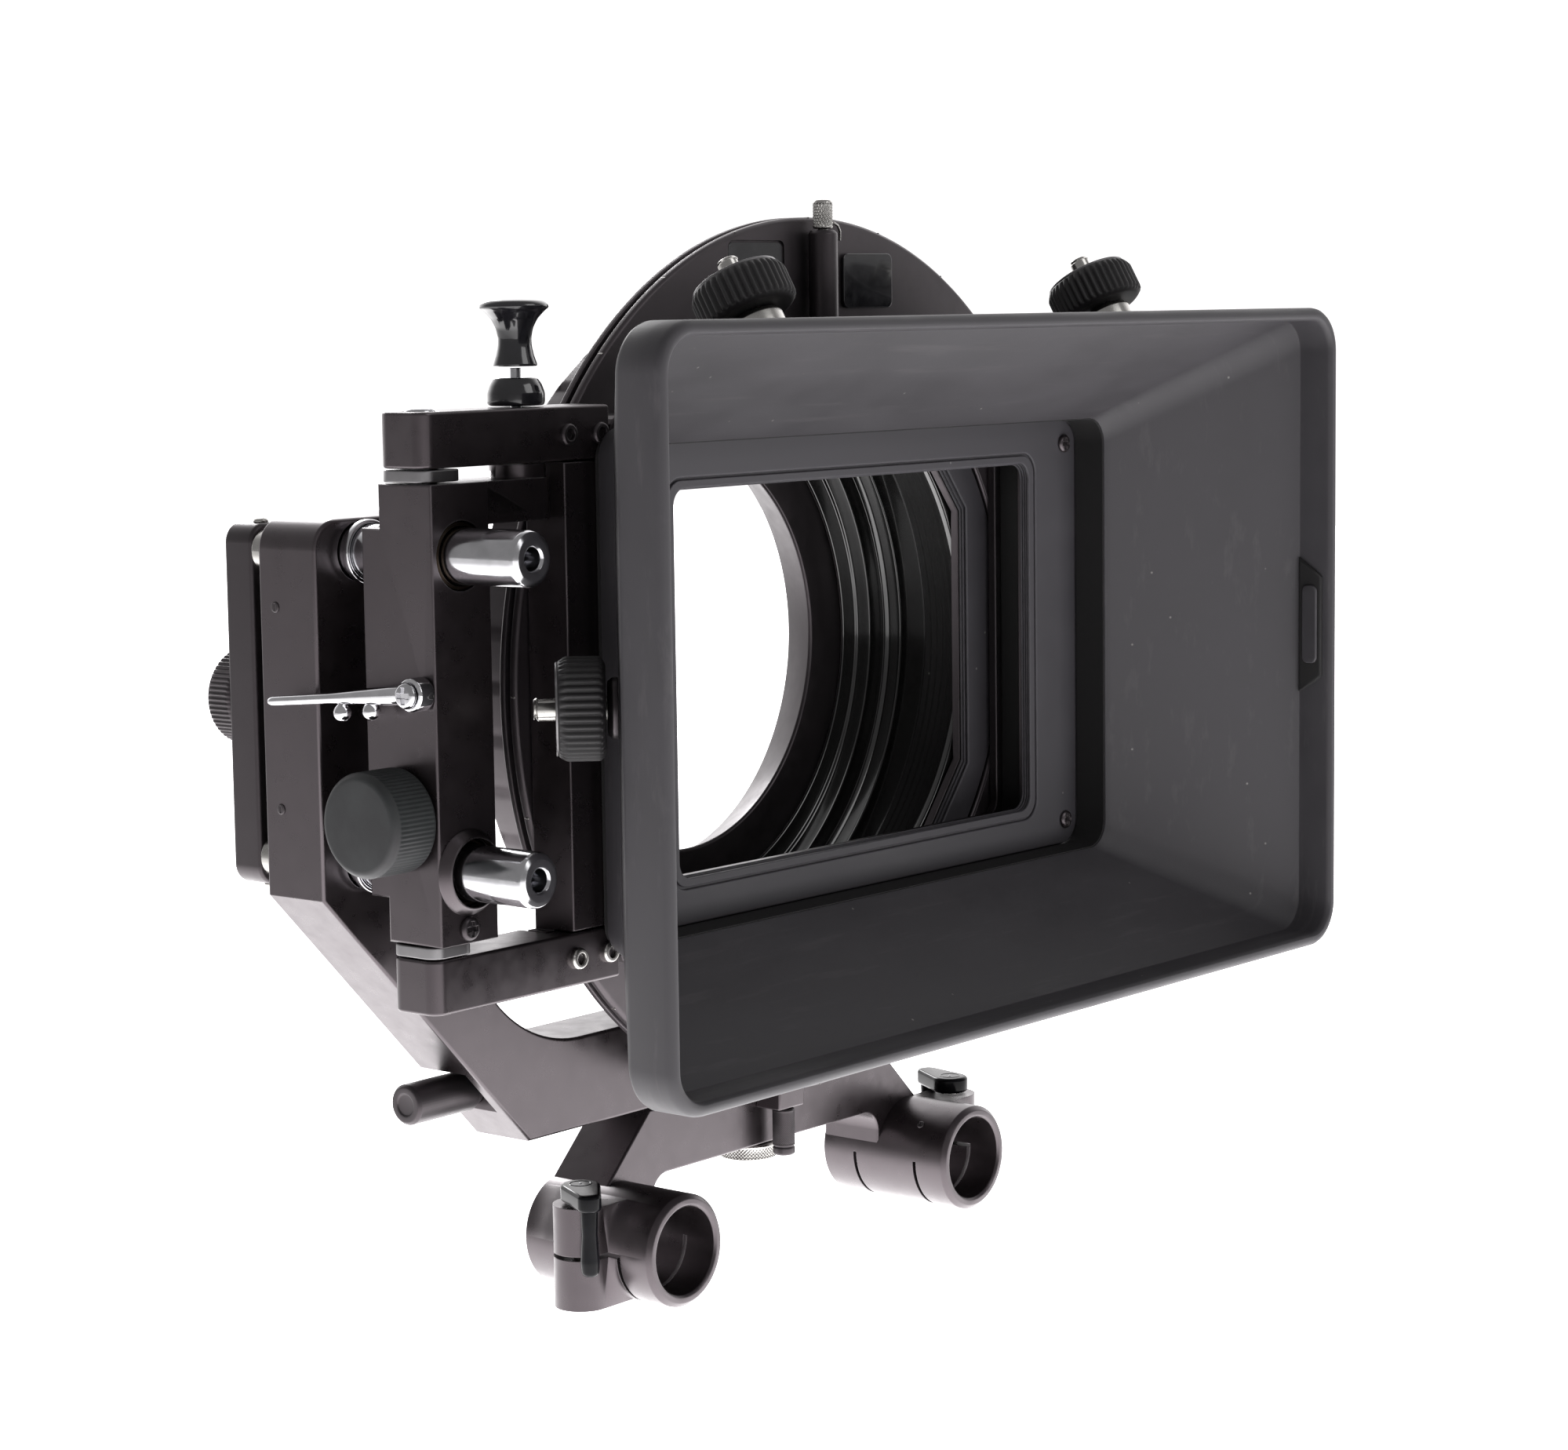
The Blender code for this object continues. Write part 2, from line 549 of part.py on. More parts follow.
def carriage_controls():
    """Round clamp knob, bent clamp lever and its pivot screw on the outside of the block."""
    knob, lever = BODY["big_knob"], BODY["lever"]
    turned_knob("carriage_clamp_knob", 10.3 * MM, (BLOCK_LEFT - GAP, knob.y, knob.z), (-1, 0, 0),
                [(0.2, -9 * MM), (0.2, 0.0), (0.93, 0.0), (1.0, 0.6 * MM), (1.0, 11.0 * MM),
                 (0.93, 11.8 * MM)], KNURLED, "big_knob")
    hub = turned("carriage_clamp_lever", [(1.6 * MM, GAP), (3.3 * MM, GAP), (3.3 * MM, 4.4 * MM),
                                          (1.6 * MM, 4.4 * MM)],
                 lever, (-1, 0, 0), POLISHED, "lever", steps=20)
    start = Vector((-135.2 * MM, lever.y + 2.2 * MM, lever.z - 0.2 * MM))
    end = Vector((-139.8 * MM, 86.5 * MM, 1.9 * MM))
    arm_profile = [(0, 0), (1.3 * MM, 0), (1.0 * MM, 14 * MM), (0.85 * MM, (end - start).length),
                   (0, (end - start).length)]
    arm = turned("lever_arm", arm_profile, start, end - start, steps=12, cutter=True)
    join(hub, arm)
    for index, y in enumerate((61.5 * MM, 68.5 * MM)):
        along = (y - start.y) / (end.y - start.y)
        spot = start.lerp(end, along)
        ball = turned("lever_ball_%d" % index,
                      [(0, -4.6 * MM), (1.3 * MM, -4.3 * MM), (1.9 * MM, -3.1 * MM),
                       (1.3 * MM, -1.8 * MM), (0.8 * MM, 0.0), (0, 0.2 * MM)],
                      spot, (0, 0, 1), steps=12, cutter=True)
        join(hub, ball)
    turned("lever_pivot_screw", [(0, -6 * MM), (1.2 * MM, -6 * MM), (1.2 * MM, 4.7 * MM),
                                 (2.6 * MM, 4.7 * MM), (2.4 * MM, 5.8 * MM), (0, 6.2 * MM)],
           lever, (-1, 0, 0), POLISHED, "carriage", steps=SMALL)


def hinge():
    """Two short hinge pins and the spacers between block and arms."""
    spacer = [rounded(BLOCK_LEFT, ARM_FRONT, -120.6 * MM, ARM_BACK, 3 * MM),
              circle(HINGE.x, HINGE.y, HINGE_PIN + GAP, 20)]
    for name, sign in (("top", 1), ("bottom", -1)):
        low, high = sorted((sign * (BLOCK_HALF + 0.3 * MM), sign * (ARM_LOW - 0.3 * MM)))
        plate("hinge_spacer_" + name, spacer, "Z", low, high, POLISHED, "carriage")
        turned("hinge_pin_" + name, [(0, 38.4 * MM), (HINGE_PIN, 38.4 * MM),
                                     (HINGE_PIN, ARM_HIGH + 0.2 * MM),
                                     (2.4 * MM, ARM_HIGH + 0.6 * MM), (0, ARM_HIGH + 0.6 * MM)],
               (HINGE.x, HINGE.y, 0), (0, 0, sign), POLISHED, "carriage", steps=20)


# ---------------------------------------------------------------- swing arms
SCREW_XS = {"outer": -91.6 * MM, "inner": -82.2 * MM}
SCREW_Z = 52.6 * MM


def swing_arms():
    """Top and bottom arms, lapped over the tongues of the upright behind the hood."""
    outline = rounded(BLOCK_LEFT, ARM_FRONT, ARM_RIGHT, ARM_BACK, (3 * MM, 0, 0, 3 * MM))
    outline = [p for p in outline if p != (ARM_RIGHT, ARM_BACK)]
    corner = outline.index((ARM_RIGHT, ARM_FRONT)) + 1
    outline[corner:corner] = [(ARM_RIGHT, LAP_Y), (LAP_LEFT, LAP_Y), (LAP_LEFT, ARM_BACK)]
    holes = [circle(HINGE.x, HINGE.y, HINGE_PIN + GAP, 20)]
    for name, sign in (("top", 1), ("bottom", -1)):
        low, high = sorted((sign * ARM_LOW, sign * ARM_HIGH))
        extra = [circle(PLUNGER_X, HINGE.y, 2.3 * MM, SMALL)] if sign > 0 else []
        arm = plate("swing_arm_" + name, [outline] + holes + extra, "Z", low, high, ANODISED,
                    "swing")
        for x in SCREW_XS.values():
            cut(arm, rod("arm_hole", 1.6 * MM, (x, 49 * MM, sign * SCREW_Z), 8 * MM, (0, 1, 0),
                         cutter=True))
        for place, x in SCREW_XS.items():
            turned("arm_screw_%s_%s" % (name, place),
                   [(0, 0), (1.9 * MM, 0), (2.2 * MM, 0.5 * MM),
                    (2.2 * MM, 1.0 * MM), (1.3 * MM, 1.0 * MM), (1.3 * MM, 10 * MM), (0, 10 * MM)],
                   (x, ARM_FRONT - 1.3 * MM, sign * SCREW_Z), (0, 1, 0),
                   ANODISED if sign > 0 else POLISHED, "swing", steps=12)


def swing_upright():
    """Upright between the arms, with a half-thickness tongue behind each arm."""
    body = plate("swing_upright", [[(-92.4 * MM, -47.1 * MM), (-79.0 * MM, -47.1 * MM),
                                    (-79.0 * MM, 47.1 * MM), (-92.4 * MM, 47.1 * MM)]],
                 "Y", ARM_FRONT, STAGE_BACK, ANODISED, "swing")
    tongue = box("tongue", (-94.7 * MM, LAP_Y + GAP, -ARM_HIGH), (-79.0 * MM, STAGE_BACK, ARM_HIGH),
                 cutter=True)
    relief = box("relief", (-96 * MM, 45 * MM, -ARM_LOW), (-92.4 * MM, 63 * MM, ARM_LOW),
                 cutter=True)
    join(body, tongue)
    cut(body, relief)
    for sign in (-1, 1):
        for x in SCREW_XS.values():
            cut(body, rod("thread", 1.6 * MM, (x, 54 * MM, sign * SCREW_Z), 6 * MM, (0, 1, 0),
                          cutter=True))


def plunger():
    """Spring plunger that locks the top arm to the bar."""
    place = (PLUNGER_X, HINGE.y, 0)
    turned("plunger_base", [(1.4 * MM, 58.5 * MM), (5.6 * MM, 58.5 * MM), (5.75 * MM, 60.8 * MM),
                            (5.4 * MM, 62.4 * MM), (4.6 * MM, 64.0 * MM), (1.4 * MM, 64.0 * MM),
                            (1.4 * MM, 62.8 * MM), (3.2 * MM, 62.8 * MM), (3.2 * MM, 59.2 * MM),
                            (1.4 * MM, 59.2 * MM)],
           place, (0, 0, 1), GLOSSY, "swing", steps=16)
    turned("plunger_knob", [(0, 66.2 * MM), (4.4 * MM, 66.2 * MM), (3.7 * MM, 68.4 * MM),
                            (3.4 * MM, 71.0 * MM), (3.8 * MM, 73.6 * MM), (5.0 * MM, 75.8 * MM),
                            (6.8 * MM, 77.5 * MM), (6.9 * MM, 78.2 * MM), (5.6 * MM, 79.2 * MM),
                            (0, 79.5 * MM)],
           place, (0, 0, 1), GLOSSY, "plunger", steps=16)
    turned("plunger_pin", [(0, 47.6 * MM), (2.0 * MM, 47.6 * MM), (2.0 * MM, 52 * MM),
                           (1.1 * MM, 52 * MM), (1.1 * MM, 65.9 * MM), (0, 65.9 * MM)],
           place, (0, 0, 1), POLISHED, "plunger", steps=SMALL)
    coil()


def coil():
    """Compression spring round the plunger pin, inside the base."""
    turns, wire, radius = 3, 0.28 * MM, 2.3 * MM
    low, high = 59.7 * MM, 62.3 * MM
    curve = bpy.data.curves.new("coil", "CURVE")
    curve.dimensions = "3D"
    curve.bevel_depth = wire
    curve.bevel_resolution = 0
    curve.use_fill_caps = True
    spline = curve.splines.new("POLY")
    count = turns * 10
    spline.points.add(count)
    for i, point in enumerate(spline.points):
        angle = math.tau * turns * i / count
        point.co = (radius * math.cos(angle), radius * math.sin(angle),
                    low + (high - low) * i / count, 1.0)
    drawn = bpy.data.objects.new("coil_curve", curve)
    CUTTERS.objects.link(drawn)
    bpy.context.view_layer.update()
    mesh = bpy.data.meshes.new_from_object(drawn.evaluated_get(
        bpy.context.evaluated_depsgraph_get()))
    bpy.data.objects.remove(drawn, do_unlink=True)
    bm = bmesh.new()
    bm.from_mesh(mesh)
    add_mesh("plunger_spring", bm, POLISHED, "swing",
             world=Matrix.Translation((PLUNGER_X, HINGE.y, 0)))


# ---------------------------------------------------------------- hood and aperture
def hood():
    """Hood shell: closed chain of rounded rectangles, outside back and inside forward."""
    w, h = HOOD_W / 2, HOOD_H / 2
    step_w, step_h = STEP_W / 2, STEP_H / 2
    taper_w, taper_h = 86.0 * MM, 56.0 * MM
    sections = (
        (w - 1.5 * MM, h - 1.5 * MM, 8.5 * MM, 0.0),
        (w - 0.4 * MM, h - 0.4 * MM, 9.6 * MM, 0.4 * MM),
        (w, h, 10 * MM, 1.5 * MM),
        (w, h, 10 * MM, RIM_DEPTH - 1.2 * MM),
        (w - 1.2 * MM, h - 1.2 * MM, 9 * MM, RIM_DEPTH),
        (taper_w, taper_h, 7 * MM, 43 * MM),
        (taper_w, taper_h - 1.5 * MM, 6.5 * MM, 45 * MM),
        (taper_w - 1.5 * MM, taper_h - 2.5 * MM, 6 * MM, HOOD_BACK),
        (step_w, step_h, 6 * MM, HOOD_BACK),
        (step_w, step_h, 6 * MM, STEP_Y),
        (w - LIP, h - LIP, 7.5 * MM, LIP_DEPTH),
        (w - LIP, h - LIP, 7.5 * MM, 1.2 * MM),
        (w - LIP + 1.0 * MM, h - LIP + 1.0 * MM, 8.3 * MM, 0.0),
    )
    bm = bmesh.new()
    rings = []
    for half_w, half_h, radius, y in sections:
        rings.append([bm.verts.new((x, y, z)) for x, z in
                      rounded(-half_w, -half_h, half_w, half_h, radius, 4)])
    count = len(rings[0])
    for first, second in zip(rings, rings[1:] + rings[:1]):
        for i in range(count):
            j = (i + 1) % count
            bm.faces.new((first[i], first[j], second[j], second[i]))
    add_mesh("hood", bm, MOULDED, "swing")


def mask_frame():
    """Aperture plate held by four small screws."""
    w, h = 81.1 * MM, 49.9 * MM
    body = plate("mask_frame",
                 [rounded(-w, -h, w, h, 5.6 * MM, 5),
                  rounded(-APERTURE_W / 2, -APERTURE_H / 2, APERTURE_W / 2, APERTURE_H / 2,
                          4 * MM)],
                 "Y", MASK_Y, MASK_Y + MASK_T, MOULDED, "swing")
    for name, sx, sz in (("upper_left", -1, 1), ("upper_right", 1, 1), ("lower_left", -1, -1),
                         ("lower_right", 1, -1)):
        x, z = sx * MASK_SCREW.x, sz * MASK_SCREW.z
        cut(body, rod("mask_hole", 1.4 * MM, (x, 46 * MM, z), 6 * MM, (0, 1, 0), steps=12,
                      cutter=True))
        turned("mask_screw_" + name,
               [(0, -1.0 * MM), (1.6 * MM, -0.9 * MM), (2.1 * MM, -0.3 * MM),
                (1.05 * MM, -0.3 * MM), (1.05 * MM, 4.0 * MM), (0, 4.0 * MM)],
               (x, MASK_Y, z), (0, 1, 0), ANODISED, "swing", steps=12)


def filter_stage():
    """Box behind the hood; its pocket is open to the right and holds the filter tray."""
    w, h = 78.7 * MM, 56.0 * MM
    opening = rounded(-64.6 * MM, -42.3 * MM, 64.6 * MM, 42.3 * MM, 3 * MM)
    body = plate("filter_stage", [rounded(-w, -h, w, h, 3 * MM), opening], "Y", STAGE_FRONT,
                 STAGE_BACK, ANODISED, "swing")
    cut(body, box("tray_pocket", (-75.8 * MM, 52.6 * MM, -53.0 * MM),
                  (80 * MM, 58.9 * MM, 53.0 * MM), cutter=True))
    for sx in (-1, 1):
        for sz in (-1, 1):
            cut(body, rod("stage_hole", 1.4 * MM, (sx * MASK_SCREW.x, 49 * MM, sz * MASK_SCREW.z),
                          4 * MM, (0, 1, 0), steps=12, cutter=True))
    tray = plate("filter_tray",
                 [rounded(-75.4 * MM, -52.6 * MM, 75.5 * MM, 52.6 * MM, 2 * MM),
                  rounded(-66 * MM, -44 * MM, 66 * MM, 44 * MM, 3 * MM)],
                 "Y", 53.0 * MM, 58.5 * MM, MOULDED, "tray")
    tab = plate("tab", [rounded(74 * MM, -12 * MM, 81.5 * MM, 12 * MM, 2 * MM)], "Y", 53.6 * MM,
                57.9 * MM, cutter=True)
    join(tray, tab)


# ---------------------------------------------------------------- round stage
def stage_disc():
    """Flanged disc that carries the rotating stage, with the label plate and its lock."""
    turned("stage_disc", [(DISC_HOLE, DISC_FRONT), (DISC_RADIUS - 0.5 * MM, DISC_FRONT),
                          (DISC_RADIUS, DISC_FRONT + 0.5 * MM), (DISC_RADIUS, 63.2 * MM),
                          (DISC_RADIUS - 2 * MM, 63.4 * MM), (DISC_RADIUS - 2 * MM, 64.2 * MM),
                          (DISC_RADIUS, 64.4 * MM), (DISC_RADIUS, DISC_BACK - 0.5 * MM),
                          (DISC_RADIUS - 0.5 * MM, DISC_BACK), (DISC_HOLE, DISC_BACK)],
           (0, 0, 0), (0, 1, 0), ANODISED, "swing", steps=FINE)
    plate("label_plate", [rounded(10.5 * MM, 76.5 * MM, 28 * MM, 88.5 * MM, 1.5 * MM)], "Y",
          60.4 * MM, STAGE_BACK, MOULDED, "swing")
    lock = BODY["stage_lock"]
    turned("stage_lock_sleeve", [(1.5 * MM, 74 * MM), (3.2 * MM, 74 * MM), (3.2 * MM, 92.6 * MM),
                                 (2.7 * MM, 93.4 * MM), (1.5 * MM, 93.4 * MM)],
           (0, lock.y, 0), (0, 0, 1), KNURLED, "swing", steps=20)
    turned_knob("stage_lock_pin", 2.2 * MM, (0, lock.y, 93.7 * MM), (0, 0, 1),
                [(0.5, -18 * MM), (0.5, 0.0), (0.93, 0.0), (1.0, 0.4 * MM), (1.0, 5.6 * MM),
                 (0.8, 6.3 * MM)], POLISHED, "stage_lock")


def octagon(half_w, half_h, cut_w, cut_h):
    """Rectangle with cut corners."""
    quarter = [(half_w, half_h - cut_h), (half_w - cut_w, half_h)]
    right = [(x, -z) for x, z in reversed(quarter)] + quarter
    return right + [(-x, -z) for x, z in right]


def rotating_stage():
    """Ring that turns in the disc, with its octagonal filter retainer in front."""
    outline = octagon(57 * MM, 46 * MM, 13.5 * MM, 17 * MM)
    plate("rotating_ring", [circle(0, 0, 71.8 * MM, FINE), outline], "Y", 64.2 * MM, 66.2 * MM,
          ANODISED, "stage")
    inner = octagon(57.8 * MM, 46.8 * MM, 13.5 * MM, 17 * MM)
    plate("filter_retainer", [circle(0, 0, 71.6 * MM, FINE), inner], "Y", 62.2 * MM, 63.9 * MM,
          MOULDED, "stage")


def rear_housing():
    """Round housing behind the disc and the ring that closes on the lens."""
    front = DISC_BACK + GAP
    turned("rear_housing", [(68 * MM, front), (HOUSING_RADIUS, front), (HOUSING_RADIUS, 89 * MM),
                            (77 * MM, 91 * MM), (66 * MM, HOUSING_BACK), (57.2 * MM, HOUSING_BACK),
                            (57.2 * MM, 97 * MM), (63.5 * MM, 97 * MM), (64.5 * MM, 92 * MM),
                            (66.5 * MM, 82 * MM)],
           (0, 0, 0), (0, 1, 0), ANODISED, "swing", steps=FINE)
    back = HOUSING_BACK + GAP
    turned("lens_ring", [(LENS_RADIUS, back), (61 * MM, back), (61 * MM, 104 * MM),
                         (58 * MM, LENS_BACK), (LENS_RADIUS_BACK, LENS_BACK)],
           (0, 0, 0), (0, 1, 0), ANODISED, "swing", steps=FINE)


def flag_knobs():
    """Knurled nuts on threaded studs that clamp the flags to the hood."""
    for name, (place, taper, outward, base) in FLAGS.items():
        direction = flag_axis(taper, outward)
        top = 3.4 * MM if base < 0 else 2.4 * MM
        turned("flag_stud_" + name, [(0, base), (6.0 * MM, base), (6.0 * MM, top), (2.4 * MM, top),
                                     (2.4 * MM, 16.0 * MM), (1.9 * MM, 16.7 * MM), (0, 16.7 * MM)],
               place, direction, POLISHED, "swing", steps=SMALL)
        low = top + GAP
        turned("flag_knob_" + name, [(2.75 * MM, low), (9.6 * MM, low), (10.2 * MM, low + 0.7 * MM),
                                     (10.2 * MM, 11.6 * MM), (9.6 * MM, 12.3 * MM),
                                     (2.75 * MM, 12.3 * MM)],
               place, direction, KNURLED, "flag_" + name)


def move_to_origin():
    """Shift the finished model so that ORIGIN becomes the world origin."""
    for group in (PARTS, CUTTERS):
        for obj in group.objects:
            if obj.parent is None:
                obj.matrix_world = Matrix.Translation(-ORIGIN) @ obj.matrix_world


build_frames()
bridge_bracket()
clamp_lever(-1, "left")
clamp_lever(1, "right")
bridge_locks()
console_plate()
guide_rods()
rear_plate()
side_knob()
slide_block()
carriage_controls()
hinge()
swing_arms()
swing_upright()
plunger()
hood()
mask_frame()
filter_stage()
stage_disc()
rotating_stage()
rear_housing()
flag_knobs()
move_to_origin()
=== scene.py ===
"""Looks of the swing-away matte box: fine surfaces, materials, light and camera.

Lengths are in millimetres from the design origin HOME, which is where the optical axis meets the
plane of the hood's front rim: X to the right of a viewer who looks into the hood, +Y back, +Z up.
"""
import math

import bmesh
import bpy
from mathutils import Matrix, Vector


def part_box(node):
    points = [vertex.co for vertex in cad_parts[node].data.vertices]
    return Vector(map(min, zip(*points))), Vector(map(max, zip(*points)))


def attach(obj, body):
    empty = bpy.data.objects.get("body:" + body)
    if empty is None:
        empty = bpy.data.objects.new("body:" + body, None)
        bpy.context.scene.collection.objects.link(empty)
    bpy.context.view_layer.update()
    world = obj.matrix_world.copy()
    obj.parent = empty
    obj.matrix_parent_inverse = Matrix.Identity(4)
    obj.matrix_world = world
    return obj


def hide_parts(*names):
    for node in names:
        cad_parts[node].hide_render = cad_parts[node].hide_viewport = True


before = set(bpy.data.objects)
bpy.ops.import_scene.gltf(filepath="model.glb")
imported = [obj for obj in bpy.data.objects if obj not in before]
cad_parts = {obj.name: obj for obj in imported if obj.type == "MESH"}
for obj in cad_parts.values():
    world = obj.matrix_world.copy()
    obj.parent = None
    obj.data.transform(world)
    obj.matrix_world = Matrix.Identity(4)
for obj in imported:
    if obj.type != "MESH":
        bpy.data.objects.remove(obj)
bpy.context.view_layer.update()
MM = 0.001
LENS_LOW, LENS_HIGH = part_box("lens_ring")
HOME = Vector(((LENS_LOW.x + LENS_HIGH.x) / 2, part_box("hood")[0].y,
               (LENS_LOW.z + LENS_HIGH.z) / 2))


def span(node):
    """Lowest and highest corner of a CAD node, in millimetres from HOME."""
    low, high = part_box(node)
    return (low - HOME) / MM, (high - HOME) / MM


def middle(node):
    """Centre of a CAD node's box, in millimetres from HOME."""
    low, high = span(node)
    return (low + high) / 2


ROD = middle("guide_rod_top")
HINGE = middle("hinge_pin_top")
LATCH = middle("plunger_pin")
THUMB = middle("rear_thumbwheel")
WHEEL = middle("bridge_lock_wheel")
PULL = middle("bridge_lock_pin")
POCKET = middle("side_knob")
PIVOT = middle("lever_pivot_screw")
KNOB = middle("carriage_clamp_knob")


# ---------------------------------------------------------------- materials
class Paint:
    """A Principled material under construction."""

    def __init__(self, name):
        self.mat = bpy.data.materials.new(name)
        self.mat.use_nodes = True
        self.tree = self.mat.node_tree
        self.shader = self.tree.nodes["Principled BSDF"]
        self.place = self.node("ShaderNodeTexCoord").outputs["Object"]

    def node(self, kind, values=None, **settings):
        """A node with its settings and its inputs' values or links."""
        made = self.tree.nodes.new(kind)
        for key, value in settings.items():
            setattr(made, key, value)
        for key, value in (values or {}).items():
            self.feed(made.inputs[key], value)
        return made

    def feed(self, socket, value):
        """Give a socket a link or a plain value."""
        if isinstance(value, bpy.types.NodeSocket):
            self.tree.links.new(value, socket)
        elif isinstance(value, (tuple, list)) and len(value) == 3 and socket.type == "RGBA":
            socket.default_value = (*value, 1.0)
        else:
            socket.default_value = value

    def stretched(self, scale):
        """Object coordinates scaled per axis."""
        return self.node("ShaderNodeMapping", {"Vector": self.place, "Scale": scale}).outputs[0]

    def noise(self, size, detail=3.0, place=None, rough=0.55):
        """Noise with features about size millimetres across."""
        values = {"Vector": place or self.place, "Scale": 1 / (size * MM), "Detail": detail,
                  "Roughness": rough}
        return self.node("ShaderNodeTexNoise", values).outputs["Fac"]

    def spread(self, fac, low, high, a=0.0, b=1.0):
        """Map low..high of a value to a..b, clamped."""
        values = {0: fac, 1: low, 2: high, 3: a, 4: b}
        return self.node("ShaderNodeMapRange", values).outputs[0]

    def mix(self, fac, a, b):
        """Blend two colours."""
        made = self.node("ShaderNodeMix", data_type="RGBA")
        for index, value in ((0, fac), (6, a), (7, b)):
            self.feed(made.inputs[index], value)
        return made.outputs[2]

    def maths(self, operation, a, b=0.0):
        """A math node."""
        return self.node("ShaderNodeMath", {0: a, 1: b}, operation=operation).outputs[0]

    def edge(self, width):
        """1 along outside and inside edges, 0 on open faces."""
        soft = self.node("ShaderNodeBevel", {"Radius": width * MM}, samples=4).outputs[0]
        flat = self.node("ShaderNodeNewGeometry").outputs["Normal"]
        dot = self.node("ShaderNodeVectorMath", {0: soft, 1: flat}, operation="DOT_PRODUCT")
        return self.spread(dot.outputs["Value"], 0.995, 0.86)

    def bump(self, height, depth, strength=1.0, normal=None):
        """A bump of depth millimetres."""
        values = {"Height": height, "Strength": strength, "Distance": depth * MM}
        if normal is not None:
            values["Normal"] = normal
        return self.node("ShaderNodeBump", values).outputs[0]

    def set(self, **values):
        """Set the shader's inputs, named with underscores for spaces."""
        for key, value in values.items():
            self.feed(self.shader.inputs[key.replace("_", " ")], value)
        return self.mat

    def dust(self, share, size):
        """Sparse small specks."""
        cells = self.node("ShaderNodeTexVoronoi", {"Vector": self.place,
                                                   "Scale": 1 / (size * 9 * MM)})
        near = self.spread(cells.outputs["Distance"], 0.10, 0.03)
        pick = self.node("ShaderNodeSeparateColor", {0: cells.outputs["Color"]}).outputs[0]
        return self.maths("MULTIPLY", near, self.maths("LESS_THAN", pick, share))

    def rings(self, size):
        """Fine turning marks round the piece's own Z axis."""
        parts = self.node("ShaderNodeSeparateXYZ", {0: self.place}).outputs
        squares = self.maths("ADD", self.maths("POWER", parts[0], 2.0),
                             self.maths("POWER", parts[1], 2.0))
        radius = self.maths("SQRT", squares)
        flat = self.node("ShaderNodeCombineXYZ", {0: radius, 1: parts[2]}).outputs[0]
        return self.noise(size, 2.0, flat)


def anodised(name, tone, sheen=0.3, grain=0.002, shine=1.0, wear=0.5):
    """Bead-blasted black anodising: faint mottling, fine grain, lighter worn edges."""
    p = Paint(name)
    cloud = p.noise(9.0, 4.0)
    fine = p.noise(0.35, 2.0)
    base = p.mix(p.spread(cloud, 0.35, 0.7), tone, tuple(c * 1.5 for c in tone))
    rub = p.maths("MULTIPLY", p.edge(0.45), p.spread(p.noise(2.5, 5.0), 0.35, 0.75, 0.25, wear))
    base = p.mix(rub, base, tuple(c + 0.09 for c in tone))
    rough = p.spread(p.noise(4.0, 5.0), 0.3, 0.75, sheen - 0.05, sheen + 0.08)
    soft = p.node("ShaderNodeBevel", {"Radius": 0.25 * MM}, samples=4).outputs[0]
    return p.set(Base_Color=base, Roughness=rough, Specular_IOR_Level=shine,
                 Specular_Tint=(1.0, 0.88, 0.94), Normal=p.bump(fine, grain, 0.4, soft))


def moulded(name, tone, grain=0.03, streaks=0.0, rough=(0.5, 0.66)):
    """Matte moulded plastic: leathery micro grain, smudges, dust, rubbed edges."""
    p = Paint(name)
    smudge = p.noise(26.0, 5.0, p.stretched((1.0, 2.2, 1.6)))
    base = p.mix(p.spread(smudge, 0.35, 0.72), tone, tuple(c * 1.22 for c in tone))
    if streaks:
        wipe = p.noise(16.0, 4.0, p.stretched((0.35, 5.0, 1.0)), 0.7)
        amount = p.maths("MULTIPLY", p.spread(wipe, 0.56, 0.78), streaks)
        base = p.mix(amount, base, (0.13, 0.12, 0.125))
    rub = p.maths("MULTIPLY", p.edge(0.8), p.spread(p.noise(3.0, 5.0), 0.3, 0.75, 0.15, 0.6))
    base = p.mix(rub, base, tuple(c * 2.6 for c in tone))
    base = p.mix(p.maths("MULTIPLY", p.dust(0.06, 0.4), 0.5), base, (0.35, 0.34, 0.32))
    soft = p.node("ShaderNodeBevel", {"Radius": 0.3 * MM}, samples=4).outputs[0]
    return p.set(Base_Color=base, Roughness=p.spread(smudge, 0.3, 0.75, *rough),
                 Specular_IOR_Level=0.45, Normal=p.bump(p.noise(0.32, 3.0), grain, 0.5, soft))


def steel(name, tone=(0.62, 0.62, 0.64), rough=(0.1, 0.22), marks=0.004, turned=True):
    """Polished or turned steel with fine marks and a slight stain."""
    p = Paint(name)
    height = p.rings(0.12) if turned else p.noise(0.5, 3.0, p.stretched((1, 8, 1)))
    stain = p.noise(5.0, 4.0)
    base = p.mix(p.spread(stain, 0.4, 0.75), tone, tuple(c * 0.82 for c in tone))
    soft = p.node("ShaderNodeBevel", {"Radius": 0.15 * MM}, samples=4).outputs[0]
    return p.set(Base_Color=base, Metallic=1.0, Roughness=p.spread(stain, 0.3, 0.75, *rough),
                 Normal=p.bump(height, marks, 0.5, soft))


def gloss(name, tone=(0.008, 0.008, 0.010), coat=0.8, rough=(0.12, 0.24), shine=0.5):
    """Gloss black lacquer with faint handling marks and thin turning lines."""
    p = Paint(name)
    marks = p.noise(3.0, 5.0)
    base = p.mix(p.spread(marks, 0.4, 0.8), tone, tuple(c * 1.8 for c in tone))
    return p.set(Base_Color=base, Roughness=p.spread(marks, 0.3, 0.8, *rough),
                 Specular_IOR_Level=shine, Coat_Weight=coat, Coat_Roughness=0.06,
                 Normal=p.bump(p.rings(0.3), 0.003, 0.5))


